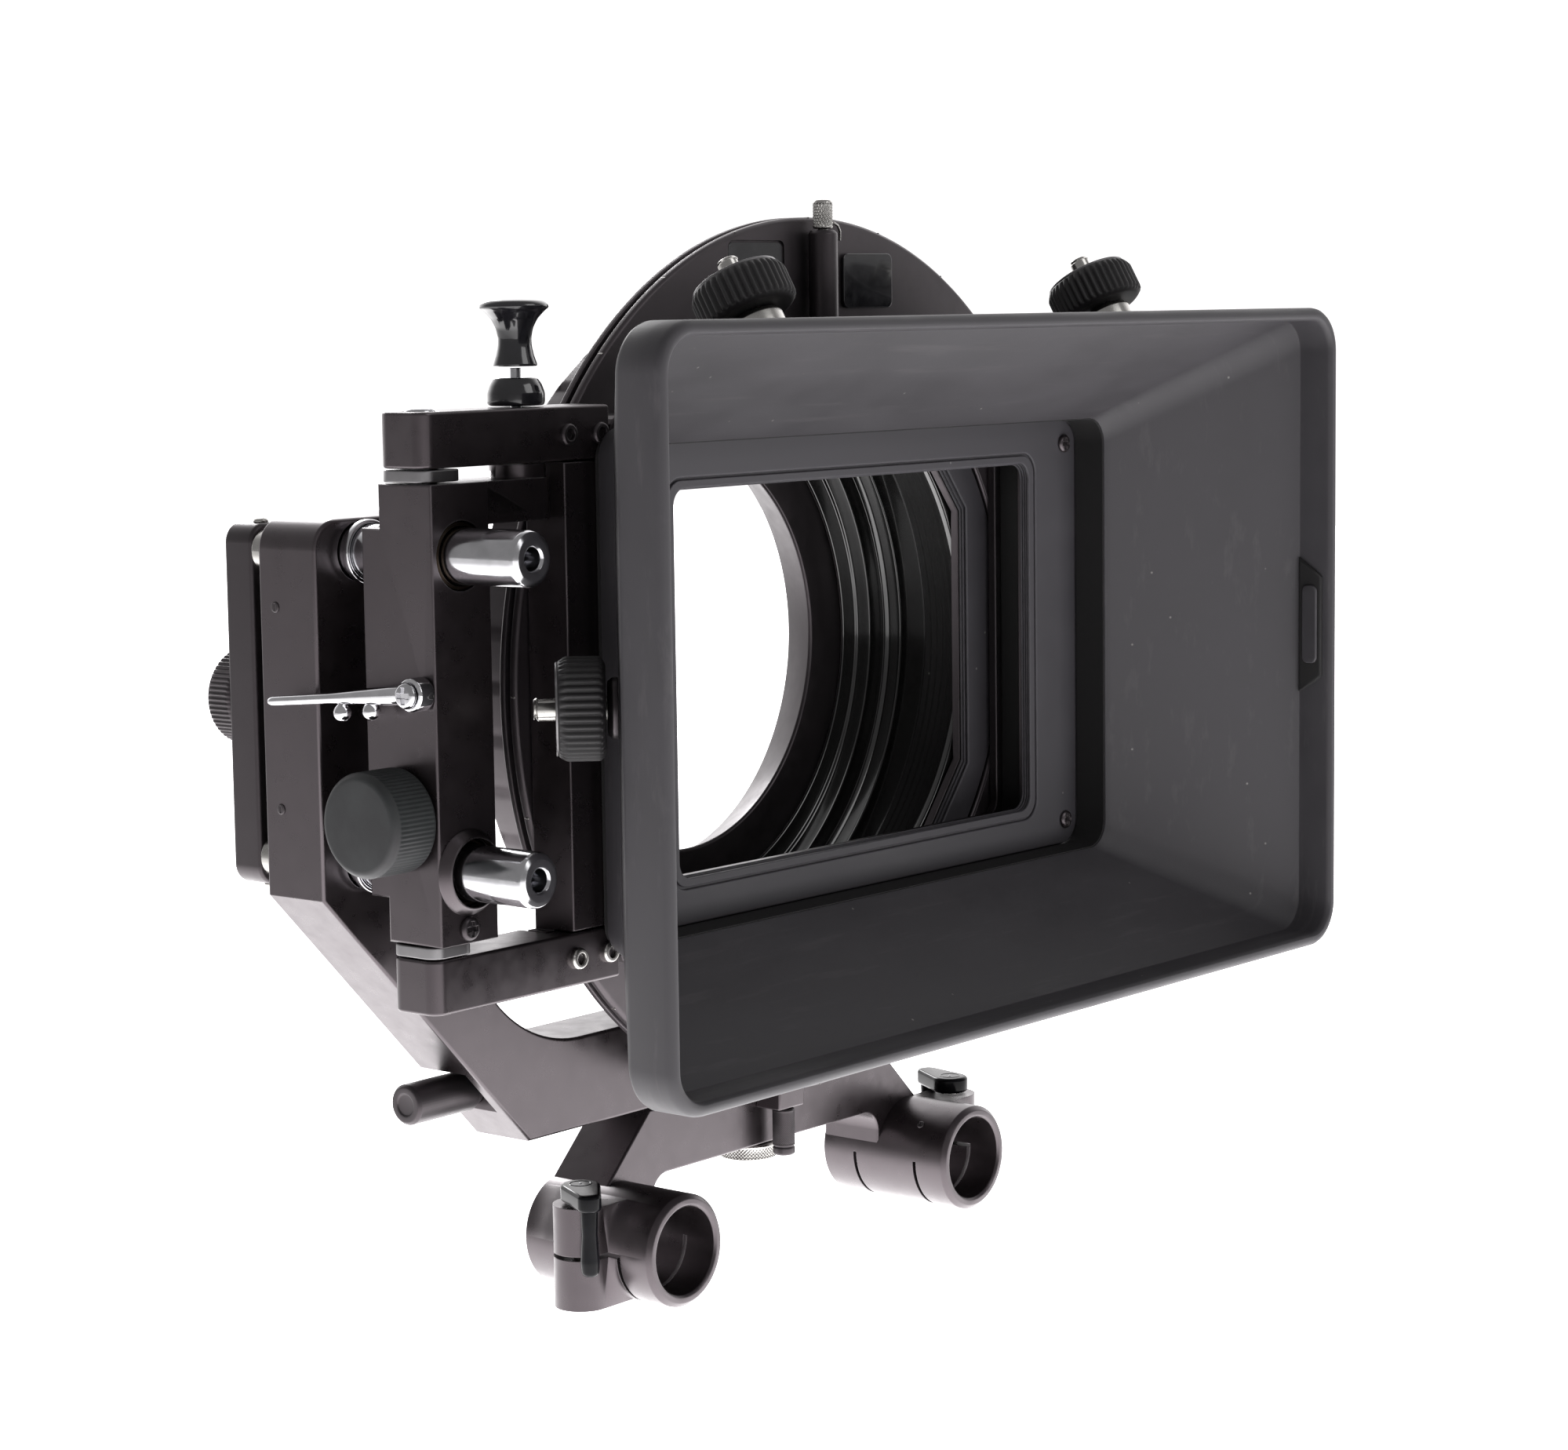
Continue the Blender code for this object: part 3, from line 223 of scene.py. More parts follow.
PURPLE_BLACK = (0.0065, 0.0052, 0.0056)
SATIN = anodised("black_anodised", PURPLE_BLACK)
SATIN_DARK = anodised("black_anodised_fine", (0.005, 0.0045, 0.0048), 0.36, 0.008, 0.7, 0.3)
DISC = anodised("black_anodised_disc", (0.009, 0.008, 0.009), 0.4, 0.008, 0.8, 0.35)
KNURLED = anodised("black_knurled", (0.007, 0.0065, 0.007), 0.42, 0.006, 0.7, 0.6)
KNOB_FACE = anodised("grey_green_knob", (0.022, 0.025, 0.025), 0.5, 0.01, 0.3, 0.2)
# near-black rough felt for the gasket, catch and tray ribs; on the throat walls it is painted shade
FELT_AND_SHADE_BLACK = moulded("felt_black_and_painted_shade", (0.008, 0.0075, 0.008), 0.02, 0.0, (0.7, 0.85))
HOOD = moulded("hood_plastic", (0.033, 0.031, 0.035), 0.035, 0.2)
MASK = moulded("mask_plastic", (0.036, 0.034, 0.039), 0.028)
DEEP = moulded("deep_black", (0.0022, 0.0021, 0.0022), 0.02, 0.0, (0.6, 0.75))
RUBBER = moulded("flag_knob_rubber", (0.018, 0.017, 0.018), 0.02, 0.0, (0.5, 0.62))
STEEL = steel("polished_steel")
SCREW = steel("screw_steel", (0.5, 0.49, 0.47), (0.2, 0.34))
SHIM = steel("spacer_steel", (0.24, 0.235, 0.24), (0.32, 0.45), 0.006, False)
CHROME = steel("chrome", (0.78, 0.78, 0.80), (0.05, 0.12), 0.002, False)
BRONZE = steel("bearing_bronze", (0.036, 0.027, 0.02), (0.35, 0.45))
GLOSS = gloss("gloss_black")
LACQUER = gloss("black_lacquer", (0.004, 0.004, 0.005), 0.0, (0.12, 0.2), 0.12)
INSIDE = gloss("gloss_black_rings", (0.004, 0.004, 0.004), 0.9, (0.14, 0.26))


# ---------------------------------------------------------------- shapes
def piece(name, bm, look, body=None, nodes=(), frame_at=None, sharp=40):
    """A mesh in millimetres becomes a piece, on a body if one is named, for its CAD nodes."""
    bmesh.ops.recalc_face_normals(bm, faces=bm.faces)
    bmesh.ops.scale(bm, vec=(MM, MM, MM), verts=bm.verts)
    mesh = bpy.data.meshes.new(name)
    bm.to_mesh(mesh)
    bm.free()
    mesh.shade_smooth()
    mesh.set_sharp_from_angle(angle=math.radians(sharp))
    obj = bpy.data.objects.new(name, mesh)
    bpy.context.scene.collection.objects.link(obj)
    place = frame_at or Matrix.Identity(4)
    obj.matrix_world = Matrix.Translation(HOME + place.translation * MM) @ place.to_3x3().to_4x4()
    if look is not None:
        mesh.materials.append(look)
    if body:
        hang(obj, body, nodes)
    return obj


def hang(obj, body, nodes=()):
    """Put a finished piece on its body."""
    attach(obj, body)
    if nodes:
        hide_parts(*nodes)


def soften_edges(obj, width):
    """Real rounded edges of width millimetres."""
    bevel = obj.modifiers.new("edges", "BEVEL")
    bevel.width = width * MM
    bevel.segments = 3
    bevel.limit_method = "ANGLE"
    bevel.angle_limit = math.radians(38)
    bevel.use_clamp_overlap = False
    bevel.harden_normals = True


def flatten_faces(obj):
    """Shade large flat faces flat next to their rounded edges."""
    weighted = obj.modifiers.new("flat_faces", "WEIGHTED_NORMAL")
    weighted.keep_sharp = True
    weighted.weight = 100


def along(place, direction):
    """A frame whose local Z runs along direction from place."""
    turn = Vector((0, 0, 1)).rotation_difference(Vector(direction).normalized())
    return Matrix.Translation(place) @ turn.to_matrix().to_4x4()


def soften(points, radius, closed):
    """Round every corner of a profile."""
    out = []
    for i, point in enumerate(points):
        if not closed and i in (0, len(points) - 1):
            out.append(point)
            continue
        back = points[i - 1] - point
        ahead = points[(i + 1) % len(points)] - point
        reach = min(radius, back.length * 0.45, ahead.length * 0.45)
        if reach < 0.01 or abs(back.angle(ahead) - math.pi) < 0.15:
            out.append(point)
            continue
        start = point + back.normalized() * reach
        end = point + ahead.normalized() * reach
        for t in (0.0, 0.33, 0.67, 1.0):
            out.append(start * (1 - t) ** 2 + point * (2 * t * (1 - t)) + end * t * t)
    return out


def refine(points, low, high, pitch):
    """Add points along the stretches of a profile whose heights lie between low and high."""
    out = [points[0]]
    for point in points[1:]:
        last = out[-1]
        if low - 0.01 <= min(last.y, point.y) and max(last.y, point.y) <= high + 0.01:
            count = max(1, round(abs(point.y - last.y) / pitch))
            out += [last.lerp(point, i / count) for i in range(1, count)]
        out.append(point)
    return out


def lathe(name, profile, look, body, nodes=(), place=(0, 0, 0), axis=(0, 1, 0), soft=0.3,
          steps=96, closed=False, relief=None):
    """Spin a (radius, height) profile; relief = (low, high, pitch, function) marks its outside."""
    points = soften([Vector(p) for p in profile], soft, closed)
    outside = max(point.x for point in points) * 0.9
    if relief:
        points = refine(points, *relief[:3])
    bm = bmesh.new()
    columns = []
    poles = {}
    for step in range(steps):
        angle = math.tau * step / steps
        column = []
        for index, (radius, height) in enumerate(points):
            if radius < 1e-6:
                if index not in poles:
                    poles[index] = bm.verts.new((0, 0, height))
                column.append(poles[index])
                continue
            if relief and radius > outside and relief[0] <= height <= relief[1]:
                radius += relief[3](angle, height)
            column.append(bm.verts.new((radius * math.cos(angle), radius * math.sin(angle),
                                        height)))
        columns.append(column)
    pairs = [(i, i + 1) for i in range(len(points) - 1)]
    if closed:
        pairs.append((len(points) - 1, 0))
    for column, following in zip(columns, columns[1:] + columns[:1]):
        for i, j in pairs:
            corners = list(dict.fromkeys((column[i], column[j], following[j], following[i])))
            if len(corners) > 2:
                bm.faces.new(corners)
    return piece(name, bm, look, body, nodes, along(place, axis))


def fade(height, low, high, reach=0.35):
    """0 at both ends of a stretch, 1 inside it."""
    return max(0.0, min(1.0, (height - low) / reach, (high - height) / reach))


def ribs(count, depth, low, high):
    """Straight knurl."""
    def shape(angle, height):
        return -depth * fade(height, low, high) * (0.5 - 0.5 * math.cos(count * angle)) ** 1.5
    return low, high, 1.0, shape


def diamonds(count, depth, low, high, pitch):
    """Crossed knurl."""
    def shape(angle, height):
        turn = count * angle / 2
        lift = math.pi * height / pitch
        peak = min(abs(math.sin(turn + lift)), abs(math.sin(turn - lift)))
        return -depth * fade(height, low, high) * (1 - peak)
    return low, high, pitch / 4, shape


def thread(pitch, depth, low, high):
    """Screw thread."""
    def shape(angle, height):
        wave = math.cos(math.tau * height / pitch - angle)
        return -depth * fade(height, low, high, 0.2) * (0.5 + 0.5 * wave)
    return low, high, pitch / 8, shape


PLANES = {
    "X": Matrix(((0, 0, 1), (1, 0, 0), (0, 1, 0))),
    "Y": Matrix(((1, 0, 0), (0, 0, -1), (0, 1, 0))),
    "Z": Matrix(((1, 0, 0), (0, 1, 0), (0, 0, 1))),
}


def slab(name, outlines, axis, low, high, look=None, body=None, nodes=(), bevel=0.4, cuts=(),
         joins=()):
    """Fill closed outlines, extrude them, join and cut other shapes, and round the edges."""
    curve = bpy.data.curves.new(name, "CURVE")
    curve.dimensions = "2D"
    curve.fill_mode = "BOTH"
    curve.extrude = abs(high - low) / 2 - bevel
    curve.bevel_depth = bevel
    curve.offset = -bevel
    curve.bevel_resolution = 2
    for outline in outlines:
        spline = curve.splines.new("POLY")
        spline.points.add(len(outline) - 1)
        for point, (u, v) in zip(spline.points, outline):
            point.co = (u, v, 0.0, 1.0)
        spline.use_cyclic_u = True
    drawn = bpy.data.objects.new(name + "_curve", curve)
    bpy.context.scene.collection.objects.link(drawn)
    bm = bmesh.new()
    bm.from_mesh(evaluated(drawn))
    bpy.data.objects.remove(drawn, do_unlink=True)
    bmesh.ops.remove_doubles(bm, verts=bm.verts, dist=0.0005)
    centre = (low + high) / 2
    shift = {"X": (centre, 0, 0), "Y": (0, centre, 0), "Z": (0, 0, centre)}[axis]
    bm.transform(Matrix.Translation(shift) @ PLANES[axis].to_4x4())
    obj = piece(name, bm, look)
    carve(obj, joins, "UNION")
    carve(obj, cuts, "DIFFERENCE")
    flatten_faces(obj)
    if body:
        hang(obj, body, nodes)
    return obj


def evaluated(obj):
    """The mesh of an object with its modifiers applied."""
    bpy.context.view_layer.update()
    return bpy.data.meshes.new_from_object(obj.evaluated_get(
        bpy.context.evaluated_depsgraph_get()))


def carve(obj, tools, operation):
    """Apply exact Booleans and remove the tools."""
    if not tools:
        return obj
    for tool in tools:
        modifier = obj.modifiers.new("carve", "BOOLEAN")
        modifier.operation = operation
        modifier.solver = "EXACT"
        modifier.object = tool
    mesh = evaluated(obj)
    obj.modifiers.clear()
    bm = bmesh.new()
    bm.from_mesh(mesh)
    bmesh.ops.remove_doubles(bm, verts=bm.verts, dist=0.002 * MM)
    bmesh.ops.dissolve_limit(bm, angle_limit=0.01, verts=bm.verts, edges=bm.edges)
    bm.to_mesh(obj.data)
    bm.free()
    obj.data.shade_smooth()
    obj.data.set_sharp_from_angle(angle=math.radians(35))
    for tool in tools:
        bpy.data.objects.remove(tool, do_unlink=True)
    return obj


def block(low, high):
    """A cutter box between two corners."""
    bm = bmesh.new()
    bmesh.ops.create_cube(bm, size=1.0)
    low, high = Vector(low), Vector(high)
    bmesh.ops.scale(bm, vec=high - low, verts=bm.verts)
    bmesh.ops.translate(bm, vec=(low + high) / 2, verts=bm.verts)
    return piece("cutter", bm, None)


def drill(radius, place, length, axis, steps=48):
    """A cutter cylinder."""
    profile = [(0, 0), (radius, 0), (radius, length), (0, length)]
    return lathe("cutter", profile, None, None, (), place, axis, 0.0, steps)


def arc(u, v, radius, start, end, steps):
    """Points of an arc, angles in degrees."""
    turns = [math.radians(start + (end - start) * i / steps) for i in range(steps + 1)]
    return [(u + radius * math.cos(a), v + radius * math.sin(a)) for a in turns]


def rounded(u0, v0, u1, v1, radii, steps=10):
    """A rectangle with rounded corners, one radius or four from the lower left round."""
    if not isinstance(radii, tuple):
        radii = (radii,) * 4
    corners = ((u0, v0, 1, 1, 180), (u1, v0, -1, 1, 270), (u1, v1, -1, -1, 0), (u0, v1, 1, -1, 90))
    points = []
    for (u, v, du, dv, start), r in zip(corners, radii):
        points += arc(u + du * r, v + dv * r, r, start, start + 90, steps) if r else [(u, v)]
    return points


def circle(u, v, radius, steps=96):
    """Points of a full circle."""
    return arc(u, v, radius, 0, 360 - 360 / steps, steps - 1)


def screw_head(name, place, axis, radius, height, look, body, nodes=(), shank=0.0, cross=True):
    """A domed screw head with a crossed or a straight slot."""
    profile = [(0, -shank), (radius * 0.5, -shank), (radius * 0.5, 0), (radius, 0),
               (radius, height * 0.45), (radius * 0.8, height * 0.85), (0, height)]
    if not shank:
        profile = profile[2:]
        profile[0] = (0, 0)
    head = lathe(name, profile, look, None, (), place, axis, radius * 0.12, 40)
    width, depth = radius * 0.2, height * 0.5
    frame_at = along(place, axis)
    tools = []
    bars = [(radius * 0.62, width)]
    if cross:
        bars.append((width, radius * 0.62))
    for long, short in bars:
        tool = block((-long, -short, height - depth), (long, short, height + 1))
        tool.matrix_world = (Matrix.Translation(HOME + frame_at.translation * MM)
                             @ frame_at.to_3x3().to_4x4())
        tools.append(tool)
    bpy.context.view_layer.update()
    carve(head, tools, "DIFFERENCE")
    hang(head, body, nodes)
    return head


# ---------------------------------------------------------------- bridge
TUBE_X, TUBE_Z, TUBE_R, BORE_R = 52.0, -122.6, 12.2, 9.5


def bridge_web():
    """Web of the bridge with the lug of its pull pin."""
    high = span("bridge_bracket")[1]
    plate_front, plate_back = span("console_plate")[0].y, high.y - 0.4
    web_low, web_high = -111.5, high.z
    shoulder = 40.9
    right = [(shoulder, web_high), (shoulder + 18.1, web_high - 18.1), (TUBE_X, TUBE_Z),
             (TUBE_X - TUBE_R + 0.4, TUBE_Z)]
    right += arc(TUBE_X - TUBE_R - 4.6, web_low - 5, 5, 0, 90, 14)
    outline = right + [(-x, z) for x, z in reversed(right)]
    slab("bridge_lug", [rounded(-4.5, 69.8, 4.5, plate_front + 0.2, 0.6),
                        circle(PULL.x, PULL.y, 1.5, 32)], "Z", -102.7, -97.2, SATIN, "bridge", (),
         0.4)
    tools = [drill(2.3, (WHEEL.x, WHEEL.y, -118), 24, (0, 0, 1))]
    tools += [drill(TUBE_R - 0.2, (side * TUBE_X, plate_front - 5, TUBE_Z), 30, (0, 1, 0), 96)
              for side in (-1, 1)]
    slab("bridge_web", [outline], "Y", plate_front, plate_back, SATIN, "bridge",
         ["bridge_bracket"], 0.5, tools)


def rod_tube(side, name):
    """Tube with its bore, clamp boss and closing slits."""
    low, high = span("bridge_bracket")
    front, back = low.y, high.y
    x = side * TUBE_X
    profile = [(BORE_R + 0.5, front), (TUBE_R - 1.0, front), (TUBE_R, front + 1.0),
               (TUBE_R, back - 0.5), (TUBE_R - 0.5, back), (BORE_R, back), (BORE_R, front + 0.5)]
    tube = lathe("rod_tube_" + name, profile, SATIN, None, place=(x, 0, TUBE_Z), soft=0.15,
                 steps=144, closed=True)
    screw = middle("rod_clamp_screw_" + name)
    boss_r = 6.0
    outline = [(side * 54, screw.y - boss_r)]
    outline += [(side * u, v) for u, v in arc(abs(screw.x), screw.y, boss_r, -90, 90, 24)]
    outline += [(side * 54, screw.y + boss_r)]
    boss = slab("boss", [outline], "Z", -134.0, -111.8, bevel=0)
    carve(boss, [drill(2.3, (screw.x, screw.y, -136), 26, (0, 0, 1)),
                 drill(BORE_R + 0.5, (x, 60, TUBE_Z), 30, (0, 1, 0), 96)], "DIFFERENCE")
    carve(tube, [boss], "UNION")
    slits = [block((x - 13, y - 0.45, -137), (x + 13, y + 0.45, TUBE_Z + 0.2))
             for y in (65.7, 83.3)]
    near, far = sorted((x + side * 9, x + side * 23))
    slits.append(block((near, 65.25, TUBE_Z - 0.45), (far, 83.75, TUBE_Z + 0.45)))
    carve(tube, slits, "DIFFERENCE")
    hang(tube, "bridge", ["bridge_bracket"])


def teardrop(centre, tip, big, small):
    """Outline of two circles and their outer tangents."""
    run = Vector(tip) - Vector(centre)
    heading = math.degrees(math.atan2(run.y, run.x))
    lean = math.degrees(math.acos((big - small) / run.length))
    return (arc(*centre, big, heading + lean, heading + 360 - lean, 28)
            + arc(*tip, small, heading - lean, heading + lean, 14))


def clamp_lever(side, name):
    """Teardrop lever with a hanging grip."""
    node = "rod_clamp_lever_" + name
    body = "clamp_" + name
    low, high = span(node)
    hub = middle("rod_clamp_screw_" + name).to_2d()
    direction = Vector((-0.6, -0.8)) if side < 0 else Vector((0.35, 0.94))
    tip = hub + direction * 9.6
    outline = teardrop(hub, tip, 4.3, 2.6)
    slab(node + "_plate", [outline], "Z", high.z - 3.7, high.z, LACQUER, body, [node], bevel=0.8)
    grip = [(0, low.z), (1.3, low.z), (1.9, low.z + 0.7), (2.1, low.z + 3.0), (1.7, low.z + 9.0),
            (1.9, high.z - 2.5), (0, high.z - 2.5)]
    lathe(node + "_grip", grip, LACQUER, body, [node], (tip.x, tip.y, 0), (0, 0, 1), 0.5, 48)
    groove = [(2.0, high.z - 0.02), (2.3, high.z + 0.10), (2.6, high.z - 0.02)]
    lathe(node + "_ring", groove, LACQUER, body, (), (hub.x, hub.y, 0), (0, 0, 1), 0.0, 48,
          closed=True)
    lathe(node + "_dot", [(0, high.z - 0.1), (0.35, high.z - 0.1), (0.3, high.z + 0.12),
                          (0, high.z + 0.15)], STEEL, body, (), (hub.x, hub.y, 0), (0, 0, 1), 0.05,
          20)
    screw = "rod_clamp_screw_" + name
    s_low, s_high = span(screw)
    profile = [(0, s_low.z), (1.5, s_low.z), (2.0, s_low.z + 0.5), (2.0, s_high.z), (0, s_high.z)]
    lathe(screw + "_thread", profile, SCREW, body, [screw], (hub.x, hub.y, 0), (0, 0, 1), 0.1, 40,
          relief=thread(0.8, 0.3, s_low.z + 0.6, s_high.z))


def bridge_locks():
    """Silver knurled wheel under the web and the black pull pin."""
    low, high = span("bridge_lock_wheel")
    profile = [(0, low.z), (5.4, low.z), (6.6, low.z + 0.6), (6.6, low.z + 3.5), (6.0, low.z + 4.0),
               (1.85, low.z + 4.0), (1.85, high.z), (0, high.z)]
    lathe("bridge_lock_wheel_knurled", profile, SCREW, "lock_wheel", ["bridge_lock_wheel"],
          (WHEEL.x, WHEEL.y, 0), (0, 0, 1), 0.2, 200,
          relief=diamonds(50, 0.3, low.z + 0.6, low.z + 3.5, 0.8))
    low, high = span("bridge_lock_pin")
    profile = [(0, low.z), (2.1, low.z), (2.5, low.z + 0.4), (2.5, low.z + 1.7),
               (2.25, low.z + 2.0), (2.55, low.z + 2.3), (2.55, low.z + 10.3),
               (2.3, low.z + 10.7), (1.15, low.z + 10.7), (1.15, high.z), (0, high.z)]
    lathe("bridge_lock_pin_knurled", profile, KNURLED, "lock_pull", ["bridge_lock_pin"],
          (PULL.x, PULL.y, 0), (0, 0, 1), 0.15, 132,
          relief=diamonds(33, 0.16, low.z + 2.3, low.z + 10.3, 0.5))


def console():
    """Upright, diagonal and foot, with its pocket and rod holes."""
    low, high = span("console_plate")
    inner, foot, clearance, corner = -97.0, -76.6, 81.6, 35.0
    edge = math.degrees(math.asin(-foot / clearance))
    outline = [(low.x, -37.5), (-79.0, low.z), (high.x, low.z), (high.x, foot)]
    outline += arc(0, 0, clearance, -edge, edge - 180, 32)
    outline += arc(inner + corner, foot + corner, corner, -90, -180, 28)
    outline += arc(inner - 6, high.z - 6, 6, 0, 90, 10) + arc(low.x + 6, high.z - 6, 6, 90, 180, 10)
    rods = middle("guide_rod_top"), middle("guide_rod_bottom")
    tools = [drill(5.8, (rod.x, 75, rod.z), 20, (0, 1, 0)) for rod in rods]
    tools += [drill(2.3, (THUMB.x, 82, THUMB.z), 12, (0, 1, 0)),
              drill(2.3, (WHEEL.x, WHEEL.y, -98), 9, (0, 0, 1)),
              block((-112, 79.2, low.z - 1), (-86, 94, -79.5)),
              drill(2.3, (-88, POCKET.y, POCKET.z), 12, (1, 0, 0))]
    slab("console", [outline], "Y", low.y, high.y, SATIN, "bridge", ["console_plate"], 0.7, tools)
    for index, z in enumerate((-20.0, 20.0)):
        screw_head("console_grub_%d" % index, (low.x - 0.02, 88.0, z), (-1, 0, 0), 1.1, 0.25,
                   SATIN_DARK, "bridge", cross=False)


def guide_rods():
    """Polished rods with a bored, chamfered front end, and sleeves behind the console."""
    for name in ("top", "bottom"):
        node = "guide_rod_" + name
        low, high = span(node)
        centre = middle(node)
        profile = [(0, low.y + 8), (2.2, low.y + 8), (2.2, low.y + 0.5), (2.7, low.y), (4.2, low.y),
                   (5.2, low.y + 0.6), (5.5, low.y + 1.3), (5.5, 92.3), (3.25, 92.3),
                   (3.25, high.y - 0.4), (2.85, high.y), (0, high.y)]
        lathe(node + "_polished", profile, STEEL, "bridge", [node], (centre.x, 0, centre.z),
              soft=0.2)
        screw_head(node + "_tail", (centre.x, high.y - 0.05, centre.z), (0, 1, 0), 3.0, 0.5, SHIM,
                   "bridge", cross=False)
        spacer = rounded(-134.2, centre.z - 4.2, -115.5, centre.z + 4.2, 4.1)
        slab(node + "_spacer", [spacer, circle(centre.x, centre.z, 3.5, 48)], "Y", 92.75, 96.45,
             SCREW, "bridge", (), 0.3)
        collar = [(5.55, 73.1), (6.4, 73.1), (6.4, 74.7), (5.55, 74.7)]
        lathe(node + "_ring", collar, STEEL, "bridge", (), (centre.x, 0, centre.z), soft=0.4,
              closed=True)


def rear_tie():
    """Rear plate with its thumbwheel."""
    low, high = span("rear_plate")
    holes = [circle(ROD.x, z, 3.55, 48) for z in (-ROD.z, ROD.z)]
    holes.append(circle(THUMB.x, THUMB.z, 2.3, 32))
    slab("rear_tie_plate", [rounded(low.x, low.z, high.x, high.z, 4)] + holes, "Y", low.y, high.y,
         SATIN_DARK, "bridge", ["rear_plate"], 0.9)
    for index, (z, way) in enumerate(((low.z, -1), (high.z, 1))):
        screw_head("rear_tie_screw_%d" % index, (-129.0, 99.0, z), (0, 0, way), 1.5, 0.9, SCREW,
                   "bridge")
    low, high = span("rear_thumbwheel")
    front = high.y - 7
    profile = [(0, low.y), (1.95, low.y), (1.95, front), (8.9, front), (9.75, front + 0.9),
               (9.75, high.y - 0.9), (8.9, high.y), (6.2, high.y), (5.6, high.y - 0.5),
               (0, high.y - 0.5)]
    lathe("rear_thumbwheel_ribbed", profile, KNURLED, "thumbwheel", ["rear_thumbwheel"],
          (THUMB.x, 0, THUMB.z), soft=0.25, steps=60 * 5,
          relief=ribs(60, 0.4, front + 0.6, high.y - 0.6))


def pocket_knob():
    """Knurled knob in the pocket of the diagonal."""
    length = 19.8
    profile = [(0, -9), (1.93, -9), (1.93, 0), (3.4, 0), (3.4, 1.5), (4.3, 2.0),
               (4.3, length - 0.7), (3.7, length), (2.4, length), (2.2, length - 0.3),
               (0, length - 0.3)]
    start = (span("side_knob")[0].x + length, POCKET.y, POCKET.z)
    lathe("side_knob_knurled", profile, KNURLED, "side_knob", ["side_knob"], start, (-1, 0, 0),
          0.2, 208, relief=diamonds(52, 0.16, 2.4, length - 0.8, 0.55))


# ---------------------------------------------------------------- carriage
def carriage():
    """Slide block with its locking bar, bushes and controls."""
    low, high = span("slide_block")
    left, right, front, back, half = low.x, -116.0, low.y, high.y, 44.5
    arm_back, bar_low = 62.8, 35.9
    side = [(front, -half), (arm_back, -half), (arm_back, -bar_low), (back, -bar_low),
            (back, bar_low), (arm_back, bar_low), (arm_back, half), (front, half)]
    bar_outline = arc(LATCH.x, LATCH.y, 6.1, -90, 90, 28)
    bar_outline = [(right - 2, 50.5)] + bar_outline + [(right - 2, 62.7)]
    bar = slab("bar", [bar_outline], "Z", bar_low + 0.2, half - 0.1, bevel=0)
    boss = drill(5.6, (LATCH.x, LATCH.y, half - 1), 3.6, (0, 0, 1), 64)
    tools = [drill(6.8, (ROD.x, front - 1, z), 22, (0, 1, 0)) for z in (-ROD.z, ROD.z)]
    tools += [drill(3.3, (HINGE.x, HINGE.y, 38.1), 12, (0, 0, 1)),
              drill(3.3, (HINGE.x, HINGE.y, -50.1), 12, (0, 0, 1)),
              drill(2.3, (LATCH.x, LATCH.y, 41.5), 8, (0, 0, 1)),
              drill(2.5, (left - 1, KNOB.y, KNOB.z), 11, (1, 0, 0)),
              drill(1.6, (left - 1, PIVOT.y, PIVOT.z), 9, (1, 0, 0))]
    slab("slide_block_body", [side], "X", left, right, SATIN, "carriage", ["slide_block"], 0.5,
         tools, [bar, boss])
    cone = [(6.75, front + 0.02), (8.6, front + 0.02), (8.2, front - 0.6), (7.1, front - 2.2),
            (6.75, front - 2.3)]
    lathe("slide_block_cone", cone, SATIN, "carriage", (), (ROD.x, 0, -ROD.z), soft=0.4,
          closed=True)
    for name in ("top", "bottom"):
        node = "guide_bush_" + name
        b_low, b_high = span(node)
        centre = middle(node)
        lathe(node + "_turned", [(5.8, b_low.y), (6.5, b_low.y), (6.5, b_high.y),
                                 (5.8, b_high.y)], BRONZE, "carriage", [node],
              (centre.x, 0, centre.z), soft=0.2, closed=True)
    screw_head("block_stop_screw", (-124.5, front, -41.6), (0, -1, 0), 2.4, 1.4, SATIN_DARK,
               "carriage")


def clamp_knob():
    """Big round knob with a plain matte face and a ribbed rim."""
    low = span("carriage_clamp_knob")[0]
    depth = 11.8
    profile = [(0, -9), (2.06, -9), (2.06, 0), (9.2, 0), (10.3, 1.1), (10.3, depth - 1.3),
               (9.4, depth - 0.2), (8.8, depth), (0, depth)]
    lathe("carriage_clamp_knob_ribbed", profile, KNOB_FACE, "big_knob", ["carriage_clamp_knob"],
          (low.x + depth, KNOB.y, KNOB.z), (-1, 0, 0), 0.5, 72 * 5,
          relief=ribs(72, 0.16, 1.2, depth - 1.5))


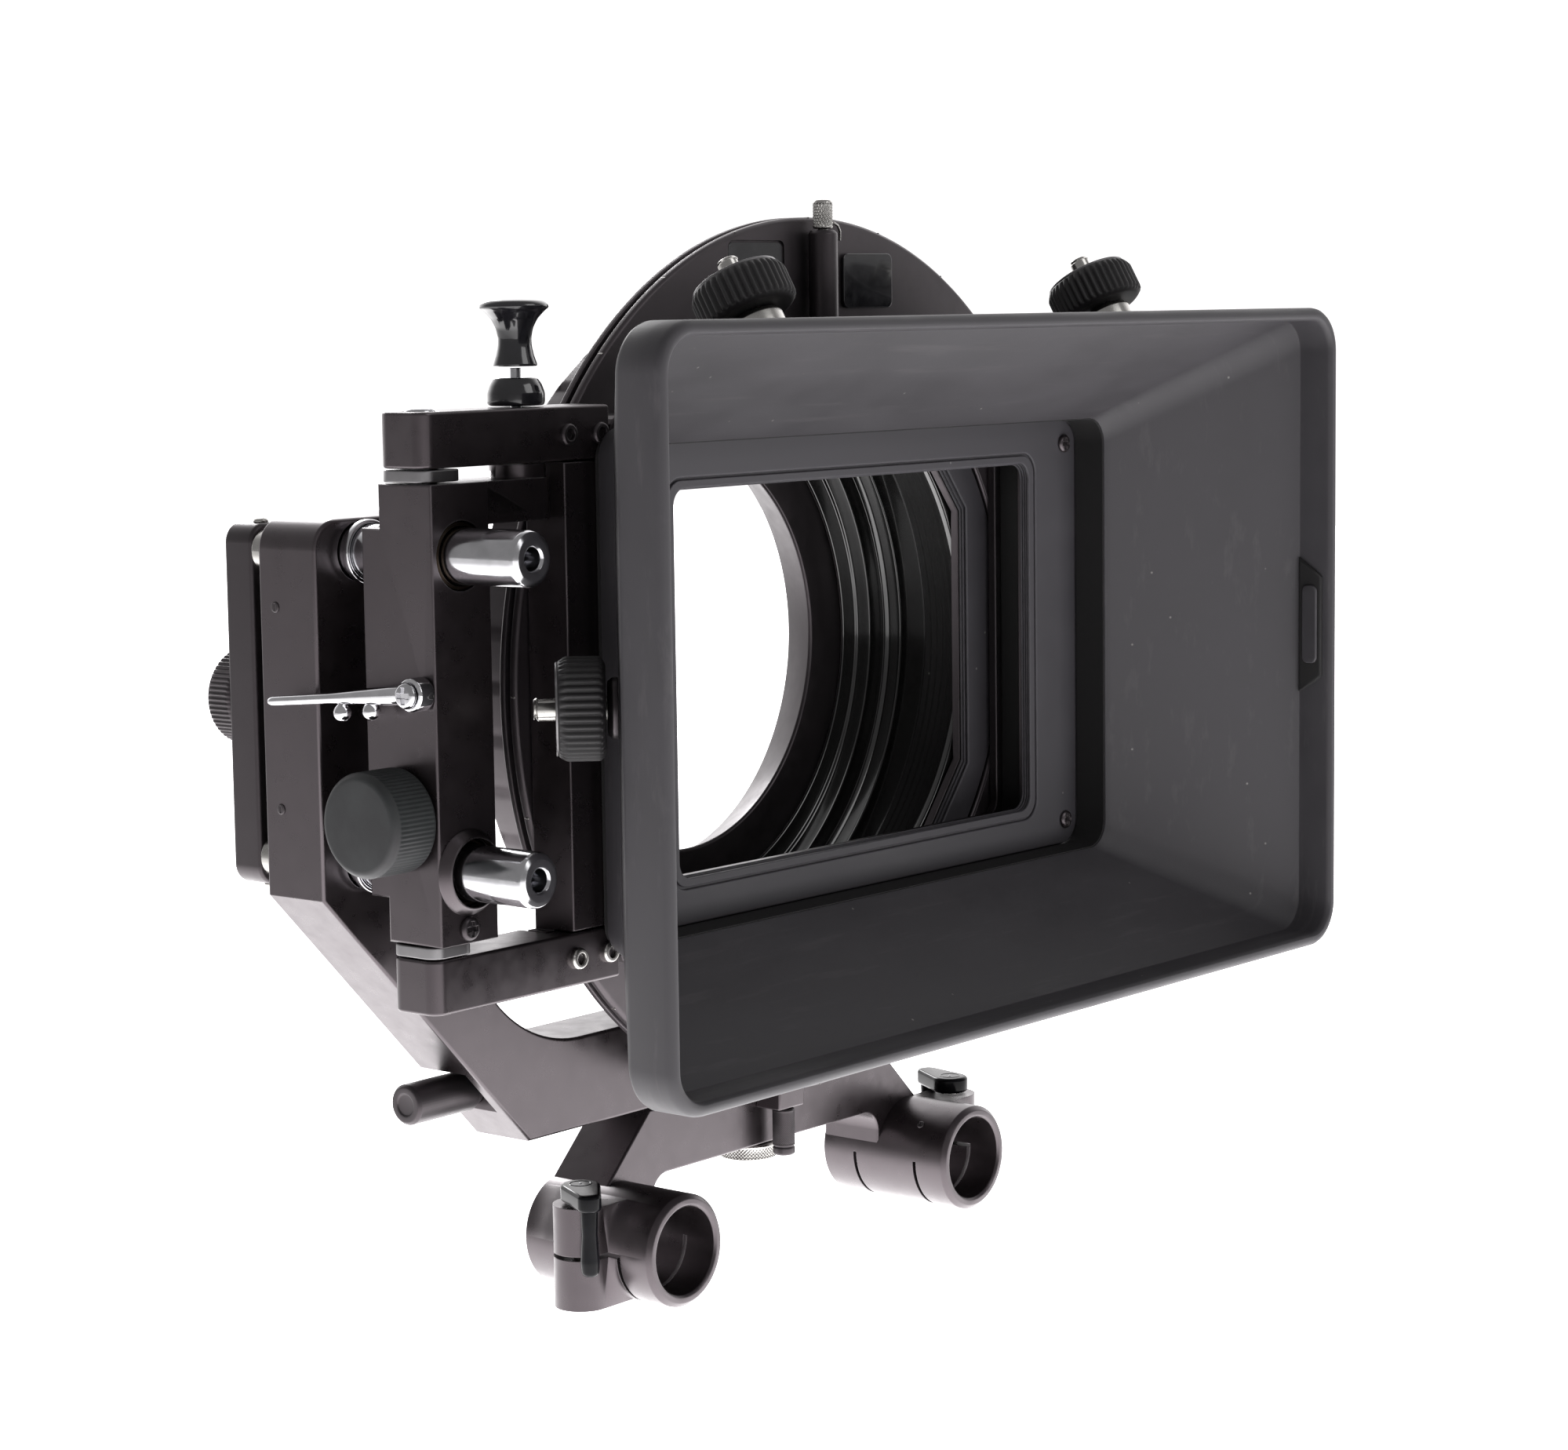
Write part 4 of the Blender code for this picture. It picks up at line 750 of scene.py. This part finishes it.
def bent_lever():
    """Chrome lever with two ball studs under it, and its pivot screw."""
    x, y, z = span("slide_block")[0].x, PIVOT.y, PIVOT.z
    start, end = Vector((-135.2, y + 1.4, z)), Vector((-139.8, 86.5, 1.9))
    length = (end - start).length
    node = "carriage_clamp_lever"
    lathe(node + "_hub", [(1.6, 0.3), (3.0, 0.3), (3.3, 0.8), (3.3, 4.0), (2.9, 4.4), (1.6, 4.4)],
          CHROME, "lever", [node], (x, y, z), (-1, 0, 0), 0.3, 64, closed=True)
    lathe(node + "_arm", [(0, -1.5), (1.9, -1.5), (1.95, 4), (1.5, 12), (1.05, 19),
                          (0.95, length - 1), (0.6, length), (0, length)], CHROME, "lever",
          [node], start, end - start, 0.5, 40)
    for index, along_y in enumerate((61.5, 68.5)):
        spot = start.lerp(end, (along_y - start.y) / (end.y - start.y))
        ball = [(0, -4.7)] + [(r, h - 2.9) for r, h in arc(0, 0, 1.8, -70, 60, 12)]
        ball += [(0.8, -1.1), (0.8, 0), (0, 0)]
        lathe(node + "_ball_%d" % index, ball, CHROME, "lever", [node], spot, (0, 0, 1), 0.0, 32)
    screw_head("lever_pivot_screw_head", (x - 4.7, y, z), (-1, 0, 0), 2.6, 1.5, STEEL, "carriage",
               ["lever_pivot_screw"], shank=10.5)


def hinge():
    """Steel spacers and pins between the block and the arms."""
    for name, sign in (("top", 1), ("bottom", -1)):
        low, high = span("hinge_spacer_" + name)
        slab("hinge_shim_" + name, [rounded(low.x, low.y, high.x, high.y, 3),
                                    circle(HINGE.x, HINGE.y, 3.3, 48)], "Z", low.z, high.z, SHIM,
             "carriage", ["hinge_spacer_" + name], 0.25)
        profile = [(0, 38.4), (3.0, 38.4), (3.0, 58.3), (2.6, 58.7), (1.2, 58.8), (1.0, 58.2),
                   (0, 58.2)]
        lathe("hinge_stud_" + name, profile, STEEL, "carriage", ["hinge_pin_" + name],
              (HINGE.x, HINGE.y, 0), (0, 0, sign), 0.2, 64)


# ---------------------------------------------------------------- swing-away frame
def arms():
    """Arms with lapped ends, their screws and the upright."""
    for name, sign in (("top", 1), ("bottom", -1)):
        node = "swing_arm_" + name
        low, high = span(node)
        lap_x, lap_y = -95.0, 55.6
        outline = arc(low.x + 3, low.y + 3, 3, 180, 270, 12) + [(high.x, low.y), (high.x, lap_y),
                                                                 (lap_x, lap_y), (lap_x, high.y)]
        outline += arc(low.x + 3, high.y - 3, 3, 90, 180, 12)
        holes = [circle(HINGE.x, HINGE.y, 3.3, 48)]
        if sign > 0:
            holes.append(circle(LATCH.x, LATCH.y, 2.3, 32))
        slab(node + "_body", [outline] + holes, "Z", low.z, high.z, SATIN, "swing", [node], 0.6)
        for place in ("outer", "inner"):
            screw = "arm_screw_%s_%s" % (name, place)
            centre = middle(screw)
            look = SATIN_DARK if sign > 0 else SCREW
            front = span(screw)[0].y
            profile = [(0, 1.0), (1.2, 1.0), (1.2, 0), (1.9, 0), (2.2, 0.5), (2.2, 1.6), (1.3, 1.6),
                       (1.3, 10.3), (0, 10.3)]
            lathe(screw + "_socket", profile, look, "swing", [screw],
                  (centre.x, front, centre.z), soft=0.15, steps=48)
            lathe(screw + "_hex", [(0, -0.3), (1.15, -0.3), (1.15, 0), (0, 0)], SATIN_DARK,
                  "swing", (), (centre.x, front + 0.8, centre.z), (0, -1, 0), 0.0, 6)
    low, high = span("swing_upright")
    tongue = block((low.x, 55.9, low.z), (high.x, high.y, high.z))
    relief = block((-96, 45, -47.4), (-92.4, 63, 47.4))
    slab("swing_upright_body", [[(-92.4, -47.1), (-79.0, -47.1), (-79.0, 47.1), (-92.4, 47.1)]],
         "Y", low.y, high.y, SATIN, "swing", ["swing_upright"], 0.5, [relief], [tongue])


def plunger():
    """Spool-shaped plunger knob on its flared base."""
    centre = middle("plunger_base")
    at = (centre.x, centre.y, 0)
    base = [(1.4, 58.5), (5.5, 58.5), (5.75, 59.2), (5.75, 61.0), (5.2, 62.6), (4.4, 64.0),
            (1.4, 64.0)]
    lathe("plunger_base_turned", base, GLOSS, "swing", ["plunger_base", "plunger_spring"], at,
          (0, 0, 1), 0.4, closed=True)
    knob = [(0, 66.2), (4.3, 66.2), (4.4, 66.6), (3.8, 68.4), (3.4, 70.2), (3.35, 71.8),
            (3.7, 73.6), (4.6, 75.4), (6.0, 76.9), (6.9, 77.6), (6.9, 78.3), (6.2, 79.0),
            (4.4, 79.4), (0, 79.5)]
    lathe("plunger_knob_turned", knob, GLOSS, "plunger", ["plunger_knob"], at, (0, 0, 1), 0.5)
    pin = [(0, 47.6), (1.7, 47.6), (2.0, 48.0), (2.0, 52.0), (1.1, 52.0), (1.1, 65.9),
           (0, 65.9)]
    lathe("plunger_pin_turned", pin, STEEL, "plunger", ["plunger_pin"], at, (0, 0, 1), 0.1, 48)


def hood():
    """Tapered shell with a thick rounded rim, a stepped throat and a catch in the right lip."""
    high = span("hood")[1]
    w, h, back = high.x, high.z, high.y
    taper_w, taper_h, throat_w, throat_h = 86.0, 56.0, 81.5, 50.3
    sections = [(w - 1.9, h - 1.9, 8.1, 0.0), (w - 1.3, h - 1.3, 8.7, 0.1),
                (w - 0.7, h - 0.7, 9.3, 0.45), (w - 0.2, h - 0.2, 9.8, 1.1), (w, h, 10, 2.0),
                (w, h, 10, 10.2), (w - 0.3, h - 0.3, 9.7, 11.0), (w - 1.2, h - 1.2, 9, 12.0),
                (taper_w, taper_h, 7, 43), (taper_w, taper_h - 1.5, 6.5, 45),
                (taper_w - 1.5, taper_h - 2.5, 6, back - 0.3),
                (taper_w - 1.9, taper_h - 2.9, 6, back),
                (throat_w, throat_h, 6, back), (throat_w, throat_h, 6, 39.6),
                (throat_w + 0.5, throat_h + 0.4, 6, 39.0),
                (throat_w + 1.3, throat_h + 0.9, 6.1, 38.3),
                (w - 3.6, h - 3.6, 7.2, 9.3), (w - 3.1, h - 3.1, 7.4, 8.7),
                (w - 3.0, h - 3.0, 7.5, 8.0),
                (w - 3.0, h - 3.0, 7.5, 1.6), (w - 2.8, h - 2.8, 7.6, 0.7),
                (w - 2.4, h - 2.4, 7.8, 0.15)]
    bm = bmesh.new()
    rings = [[bm.verts.new((x, y, z)) for x, z in rounded(-a, -b, a, b, r, 14)]
             for a, b, r, y in sections]
    count = len(rings[0])
    for first, second in zip(rings, rings[1:] + rings[:1]):
        for i in range(count):
            j = (i + 1) % count
            bm.faces.new((first[i], first[j], second[j], second[i]))
    piece("hood_shell", bm, HOOD, "swing", ["hood"], sharp=28)
    frame_slab("hood_gasket", 83.6, 53.0, 6, 81.3, 50.1, 5.0, back + 0.1, 50.25, FELT_AND_SHADE_BLACK, (), 0.1)
    outline = [(2.4, -11.5), (4.2, -13.0), (8.6, -15.5), (8.6, 16.5), (4.2, 13.5), (2.4, 12.0)]
    slab("hood_catch", [outline], "X", w - 3.9, w - 2.9, FELT_AND_SHADE_BLACK, "swing", (), 0.6)
    slab("hood_catch_grip", [rounded(3.4, -8.5, 7.4, 10.0, 1.5)], "X", w - 4.5, w - 3.7, HOOD,
         "swing", (), 0.35)
    # near-black sheet over the throat walls: painted shade of the stepped throat
    frame_slab("hood_throat_shade_sheet", throat_w + 0.1, throat_h + 0.1, 6, throat_w - 0.25,
               throat_h - 0.25, 5.8, 39.9, 47.6, FELT_AND_SHADE_BLACK, (), 0.0)


def frame_slab(name, half_w, half_h, radius, inner_w, inner_h, inner_r, low, high, look,
               nodes=(), bevel=0.15, cuts=()):
    """A rectangular frame square to the optical axis."""
    return slab(name, [rounded(-half_w, -half_h, half_w, half_h, radius),
                       rounded(-inner_w, -inner_h, inner_w, inner_h, inner_r)],
                "Y", low, high, look, "swing", nodes, bevel, cuts)


def mask():
    """Aperture plate: outer field, groove, raised inner lip and thin liners in the opening."""
    low, high = span("mask_frame")
    w, h, a, b = high.x, high.z, 62.6, 40.4
    holes = [drill(1.4, (sx * 76.4, 46, sz * 44.3), 6, (0, 1, 0)) for sx in (-1, 1)
             for sz in (-1, 1)]
    frame_slab("mask_field", w, h, 5.6, a + 2.5, b + 2.2, 4.6, low.y, high.y, MASK,
               ["mask_frame"], 0.35, holes)
    frame_slab("mask_groove", a + 2.9, b + 2.6, 4.6, a + 1.6, b + 1.3, 4.2, low.y + 0.7, high.y,
               MASK, (), 0.0)
    frame_slab("mask_lip", a + 2.0, b + 1.7, 4.4, a, b, 3.6, low.y + 0.1, low.y + 0.8, MASK, (),
               0.2)
    for index in range(3):
        step = 0.22 * (index + 1)
        front = low.y + 0.95 + index * 0.5
        frame_slab("mask_liner_%d" % index, a + 2.2, b + 1.9, 4.4, a - step + 0.25,
                   b - step + 0.25, 3.6, front, front + 0.32, MASK, (), 0.0)
    for name in ("upper_left", "upper_right", "lower_left", "lower_right"):
        centre = middle("mask_screw_" + name)
        screw_head("mask_screw_%s_head" % name, (centre.x, low.y - 0.05, centre.z), (0, -1, 0),
                   2.1, 1.0, SATIN, "swing", ["mask_screw_" + name], shank=4.0)


def stage_box():
    """Filter stage and its tray: the CAD solids, refinished with rounded edges, and thin ribs near
    the tray's right end.
    """
    for node, look in (("filter_stage", SATIN_DARK), ("filter_tray", DEEP)):
        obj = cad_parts[node]
        obj.data.materials.clear()
        obj.data.materials.append(look)
        edges = obj.modifiers.new("weld", "WELD")
        edges.merge_threshold = 0.01 * MM
        soften_edges(obj, 0.35)
    high = span("filter_tray")[1]
    for index in range(5):
        x = high.x - 1.2 - index * 1.1
        slab("filter_tray_rib_%d" % index, [rounded(x - 0.3, -9, x + 0.3, 9, 0.28, 4)], "Y", 53.25,
             53.65, FELT_AND_SHADE_BLACK, "tray", (), 0.1)


def octagon(half_w, half_h, cut_w, cut_h):
    """Rectangle with cut corners."""
    quarter = [(half_w, half_h - cut_h), (half_w - cut_w, half_h)]
    right = [(x, -z) for x, z in reversed(quarter)] + quarter
    return right + [(-x, -z) for x, z in right]


def round_stage():
    """Disc with ticks, recess, inlay and blank label plate."""
    low, high = span("stage_disc")
    radius, hole = high.x, 72.4
    front, back = low.y, high.y
    profile = [(hole, front), (radius - 0.6, front), (radius, front + 0.6), (radius, 63.1),
               (radius - 2, 63.3), (radius - 2, 64.3), (radius, 64.5), (radius, back - 0.6),
               (radius - 0.6, back), (hole, back), (hole, 62.6), (hole - 0.35, 62.4),
               (hole - 0.35, 61.9), (hole, 61.7)]
    disc = lathe("stage_disc_turned", profile, DISC, None, soft=0.25, steps=256, closed=True)
    recess = slab("recess", [rounded(-28, 84.8, -9, 91.2, 1.6, 5)], "Y", 60, 61.9,
                  bevel=0)
    carve(disc, [recess], "DIFFERENCE")
    slab("stage_disc_inlay", [rounded(-27.6, 85.2, -9.4, 90.8, 1.4, 5)], "Y", 61.6, 62.0, GLOSS,
         "swing", (), 0.1)
    hang(disc, "swing", ["stage_disc"])
    for index in range(24):
        angle = math.tau * index / 24
        bm = bmesh.new()
        bmesh.ops.create_cube(bm, size=1.0)
        bmesh.ops.scale(bm, vec=(0.35, 1.1, 0.12), verts=bm.verts)
        place = Matrix.Rotation(angle, 4, "Y") @ Matrix.Translation((0, front + 0.9, radius - 0.02))
        bmesh.ops.bevel(bm, geom=bm.edges, offset=0.03, segments=2, affect="EDGES")
        piece("index_tick_%02d" % index, bm, SCREW, "swing", frame_at=place)
    low, high = span("label_plate")
    slab("blank_label", [rounded(low.x, low.z, high.x, high.z, 1.6)], "Y", low.y, high.y + 0.2,
         GLOSS, "swing", ["label_plate"], 0.2)


def stage_lock():
    """Knurled pin in its sleeve, with a wire clip."""
    low, high = span("stage_lock_sleeve")
    centre = middle("stage_lock_sleeve")
    at = (centre.x, centre.y, 0)
    sleeve = [(1.5, low.z), (3.2, low.z), (3.2, high.z - 0.7), (2.6, high.z), (1.5, high.z)]
    lathe("stage_lock_sleeve_knurled", sleeve, KNURLED, "swing", ["stage_lock_sleeve"], at,
          (0, 0, 1), 0.2, 160, closed=True,
          relief=diamonds(32, 0.2, low.z + 0.4, high.z - 1.2, 0.8))
    low, high = span("stage_lock_pin")
    pin = [(0, low.z), (1.1, low.z), (1.1, 93.7), (2.0, 93.7), (2.2, 94.1), (2.2, high.z - 0.7),
           (1.8, high.z - 0.1), (0, high.z)]
    lathe("stage_lock_pin_knurled", pin, SCREW, "stage_lock", ["stage_lock_pin"], at, (0, 0, 1),
          0.15, 144, relief=diamonds(18, 0.34, 94.1, high.z - 0.6, 1.25))
    clip = bpy.data.curves.new("stage_lock_clip", "CURVE")
    clip.dimensions = "3D"
    clip.bevel_depth = 0.3 * MM
    clip.bevel_resolution = 3
    clip.use_fill_caps = True
    spline = clip.splines.new("POLY")
    points = [(2.2, 56.6, 95.0), (3.4, 56.4, 94.4), (4.4, 56.6, 93.2), (4.8, 57.0, 91.2)]
    spline.points.add(len(points) - 1)
    for point, place in zip(spline.points, points):
        point.co = (*(Vector(place) * MM), 1.0)
    wire = bpy.data.objects.new("stage_lock_clip", clip)
    bpy.context.scene.collection.objects.link(wire)
    wire.location = HOME
    clip.materials.append(SCREW)
    hang(wire, "swing")


def turning_ring():
    """Laminated octagonal plates that turn in the disc."""
    low, high = span("rotating_ring")
    slab("rotating_ring_plate", [circle(0, 0, high.x, 192), octagon(57, 46, 13.5, 17)], "Y", low.y,
         high.y, SATIN_DARK, "stage", ["rotating_ring"], 0.2)
    low, high = span("filter_retainer")
    slab("filter_retainer_face", [circle(0, 0, high.x, 192), octagon(57.9, 46.9, 13.5, 17)], "Y",
         low.y, low.y + 0.7, MASK, "stage", ["filter_retainer"], 0.3)
    for index, grow in enumerate((0.5, 0.2)):
        front = low.y + 0.85 + index * 0.5
        slab("filter_retainer_leaf_%d" % index,
             [circle(0, 0, high.x - 0.3, 192), octagon(57.0 + grow, 46.0 + grow, 13.5, 17)], "Y",
             front, front + 0.36, MASK, "stage", (), 0.0)


def grip_grooves(count, depth, share, low, high):
    """Axial grooves round the housing."""
    def shape(angle, height):
        turn = (count * angle / math.tau) % 1.0
        inside = min(turn, 1 - turn) * 2
        return -depth * fade(height, low, high, 0.8) * max(0.0, 1 - (inside / share) ** 4)
    return low, high, 1.5, shape


def housing():
    """Round housing: grooved outside, glossy stepped rings inside, and the lens ring."""
    low, high = span("rear_housing")
    radius, front, back = high.x, low.y, high.y
    shell = [(67.2, front), (radius - 0.6, front), (radius, front + 0.6), (radius, 89.0),
             (77.2, 91.0), (74.0, 93.6), (66.0, back - 0.4), (65.0, back), (57.2, back),
             (57.0, back - 0.4), (65.6, back - 0.9), (66.0, 97.0), (69.0, 90.0)]
    lathe("rear_housing_shell", shell, SATIN_DARK, "swing", ["rear_housing"], soft=0.5, steps=352,
          closed=True, relief=grip_grooves(44, 1.0, 0.2, 72.0, 89.0))
    rings = [(62.6, front + 0.1), (67.1, front + 0.1), (68.9, 90.0), (65.9, 96.9), (65.5, 98.3),
             (56.9, back - 0.6), (57.2, 98.4), (61.0, 98.1), (61.4, 97.4), (65.2, 96.7),
             (64.6, 94.0), (64.1, 91.6), (65.0, 90.6), (68.2, 89.8), (67.4, 85.0), (66.8, 81.6),
             (66.0, 80.8), (66.3, 75.0), (66.0, 70.0), (62.6, 68.6)]
    lathe("rear_housing_rings", rings, INSIDE, "swing", ["rear_housing"], soft=0.45, steps=256,
          closed=True)
    liner = [(66.15, 69.6), (65.9, 80.4)]
    for index in range(6):
        start = 80.4 - index * 1.8
        liner += [(65.3, start - 0.5), (65.75, start - 1.5)]
    lathe("rear_housing_baffle", liner, DEEP, "swing", soft=0.1, steps=180, closed=True)
    low, high = span("lens_ring")
    profile = [(46.0, low.y + 0.6), (46.5, low.y), (60.6, low.y), (61.0, low.y + 0.4),
               (61.0, 103.8), (60.2, 105.0), (58.4, 109.2), (57.4, high.y), (50.4, high.y),
               (50.0, high.y - 0.4)]
    lathe("lens_ring_turned", profile, SATIN_DARK, "swing", ["lens_ring"], soft=0.25, steps=256,
          closed=True)


def flags():
    """Ribbed nuts on threaded studs at the top corners and the sides of the hood."""
    taper_top, taper_side = math.atan2(17.8, 31.0), math.atan2(33.8, 31.0)
    spots = {"top_left": ((-62, 25, 72), taper_top, (0, 0, 1), -4.6),
             "top_right": ((62, 25, 72), taper_top, (0, 0, 1), -4.6),
             "left": ((-102.4, 28, 0.5), taper_side, (-1, 0, 0), 0.3),
             "right": ((102.4, 28, 0.5), taper_side, (1, 0, 0), 0.3)}
    for name, (place, taper, outward, base) in spots.items():
        axis = Vector(outward) * math.cos(taper) + Vector((0, 1, 0)) * math.sin(taper)
        top = 3.4 if base < 0 else 2.4
        stud = [(0, base), (2.4, base), (2.4, 16.0), (1.9, 16.7), (0, 16.7)]
        lathe("flag_stud_%s_threaded" % name, stud, SCREW, "swing", ["flag_stud_" + name], place,
              axis, 0.2, 72, relief=thread(1.05, 0.5, 12.0, 16.4))
        flange = [(2.45, base), (6.0, base), (6.0, top - 1.0), (5.2, top), (2.45, top)]
        lathe("flag_flange_" + name, flange, SCREW if base < 0 else SATIN_DARK, "swing", (), place,
              axis, 0.2, 64, closed=True)
        low = top + 0.3
        knob = [(2.75, low), (8.8, low), (10.2, low + 1.0), (10.2, 10.4), (9.2, 12.0), (5.6, 12.3),
                (5.0, 11.8), (2.75, 11.8)]
        lathe("flag_knob_%s_ribbed" % name, knob, RUBBER, "flag_" + name, ["flag_knob_" + name],
              place, axis, 0.5, 40 * 8, closed=True, relief=ribs(40, 0.6, low + 0.6, 11.2))
        rim = [(8.5, 12.0), (9.15, 11.9), (9.1, 12.35), (8.6, 12.4)]
        lathe("flag_knob_%s_rim" % name, rim, SHIM, "flag_" + name, (), place, axis, 0.1,
              closed=True)


# ---------------------------------------------------------------- stage, light and camera
FORWARD = Vector((0.76943, 0.62798, -0.11646))


def glowing_floor():
    """White floor whose emission is a painted pool of light: it glows brightest under and behind
    the object, has painted shade at the far left, and shows evenly white to the camera.
    """
    paint = Paint("glowing_floor")
    tone = paint.mix(paint.noise(300.0, 2.0), (0.86, 0.86, 0.86), (0.9, 0.9, 0.9))
    # painted pool of light: the glow is strongest at a spot under and behind the object and falls
    # off with distance
    offset = paint.node("ShaderNodeVectorMath", {0: paint.place, 1: (-0.08, 0.25, 0.0)},
                        operation="DISTANCE")
    glow = paint.spread(offset.outputs["Value"], 0.2, 1.0, 4.0, 1.25)
    # painted shade: the glow dims towards the far left
    parts = paint.node("ShaderNodeSeparateXYZ", {0: paint.place}).outputs
    side = paint.spread(paint.maths("SUBTRACT", parts[0], parts[1]), -1.6, 0.5, 0.3, 1.0)
    seen = paint.node("ShaderNodeLightPath").outputs["Is Camera Ray"]
    power = paint.maths("MAXIMUM", paint.maths("MULTIPLY", glow, side),
                        paint.maths("MULTIPLY", seen, 2.0))
    return paint.set(Base_Color=tone, Roughness=0.9, Emission_Color=(1.0, 0.985, 0.99),
                     Emission_Strength=power)


def surroundings():
    """Glowing floor with a painted pool of light, and a studio with a white back wall, darker on
    the other sides.
    """
    bm = bmesh.new()
    bmesh.ops.create_grid(bm, x_segments=1, y_segments=1, size=4000)
    piece("floor", bm, glowing_floor(), frame_at=Matrix.Translation((0, 0, -260)))
    world = bpy.data.worlds.new("studio")
    bpy.context.scene.world = world
    world.use_nodes = True
    tree = world.node_tree
    tree.nodes.clear()

    def node(kind, **settings):
        made = tree.nodes.new(kind)
        for key, value in settings.items():
            setattr(made, key, value)
        return made

    direction = node("ShaderNodeTexCoord")
    dot = node("ShaderNodeVectorMath", operation="DOT_PRODUCT")
    dot.inputs[1].default_value = FORWARD
    tree.links.new(direction.outputs["Generated"], dot.inputs[0])
    fall = node("ShaderNodeMapRange", interpolation_type="SMOOTHSTEP")
    for index, value in ((1, 0.1), (2, 0.8), (3, 0.3), (4, 1.9)):
        fall.inputs[index].default_value = value
    tree.links.new(dot.outputs["Value"], fall.inputs[0])
    path = node("ShaderNodeLightPath")
    pick = node("ShaderNodeMix", data_type="FLOAT")
    tree.links.new(path.outputs["Is Camera Ray"], pick.inputs[0])
    tree.links.new(fall.outputs[0], pick.inputs[2])
    pick.inputs[3].default_value = 1.2
    background = node("ShaderNodeBackground")
    background.inputs["Color"].default_value = (1.0, 0.985, 0.99, 1.0)
    tree.links.new(pick.outputs[0], background.inputs["Strength"])
    output = node("ShaderNodeOutputWorld")
    tree.links.new(background.outputs[0], output.inputs[0])


def lamp(name, place, size, power):
    """A soft square light that looks at the middle of the object."""
    light = bpy.data.lights.new(name, "AREA")
    light.size = size * MM
    light.energy = power
    obj = bpy.data.objects.new(name, light)
    bpy.context.scene.collection.objects.link(obj)
    obj.location = HOME + Vector(place) * MM
    target = HOME + Vector((0, 50, -20)) * MM
    obj.rotation_euler = (target - obj.location).to_track_quat("-Z", "Y").to_euler()
    obj.visible_camera = False


def camera():
    """Position and lens of the picture: a tele view from the left and slightly above."""
    place = Vector((-618.818, -434.360, 77.933))
    azimuth, elevation, roll = (math.radians(a) for a in (-50.782, 6.688, -0.803))
    back = Vector((math.sin(azimuth) * math.cos(elevation),
                   -math.cos(azimuth) * math.cos(elevation), math.sin(elevation)))
    right = Vector((math.cos(azimuth), math.sin(azimuth), 0))
    up = back.cross(right)
    rolled_right = right * math.cos(roll) + up * math.sin(roll)
    rolled_up = up * math.cos(roll) - right * math.sin(roll)
    data = bpy.data.cameras.new("view")
    data.sensor_width = 36.0
    data.lens = 82.705
    data.clip_start, data.clip_end = 0.05, 20.0
    obj = bpy.data.objects.new("view", data)
    bpy.context.scene.collection.objects.link(obj)
    turn = Matrix((rolled_right, rolled_up, back)).transposed().to_4x4()
    obj.matrix_world = Matrix.Translation(HOME + place * MM) @ turn
    bpy.context.scene.camera = obj


bridge_web()
for way, hand in ((-1, "left"), (1, "right")):
    rod_tube(way, hand)
    clamp_lever(way, hand)
screw_head("rod_tube_set_screw", (43.0, 66.0, -114.2), (-0.74, 0, 0.68), 0.9, 0.3, SATIN_DARK,
           "bridge")
bridge_locks()
console()
guide_rods()
rear_tie()
pocket_knob()
carriage()
clamp_knob()
bent_lever()
hinge()
arms()
plunger()
hood()
mask()
stage_box()
round_stage()
stage_lock()
turning_ring()
housing()
flags()
surroundings()
lamp("soft_front", (150, -900, 650), 600, 2.2)
lamp("soft_back", (450, 900, 450), 300, 3.5)
camera()
bpy.context.scene.view_settings.view_transform = "Standard"
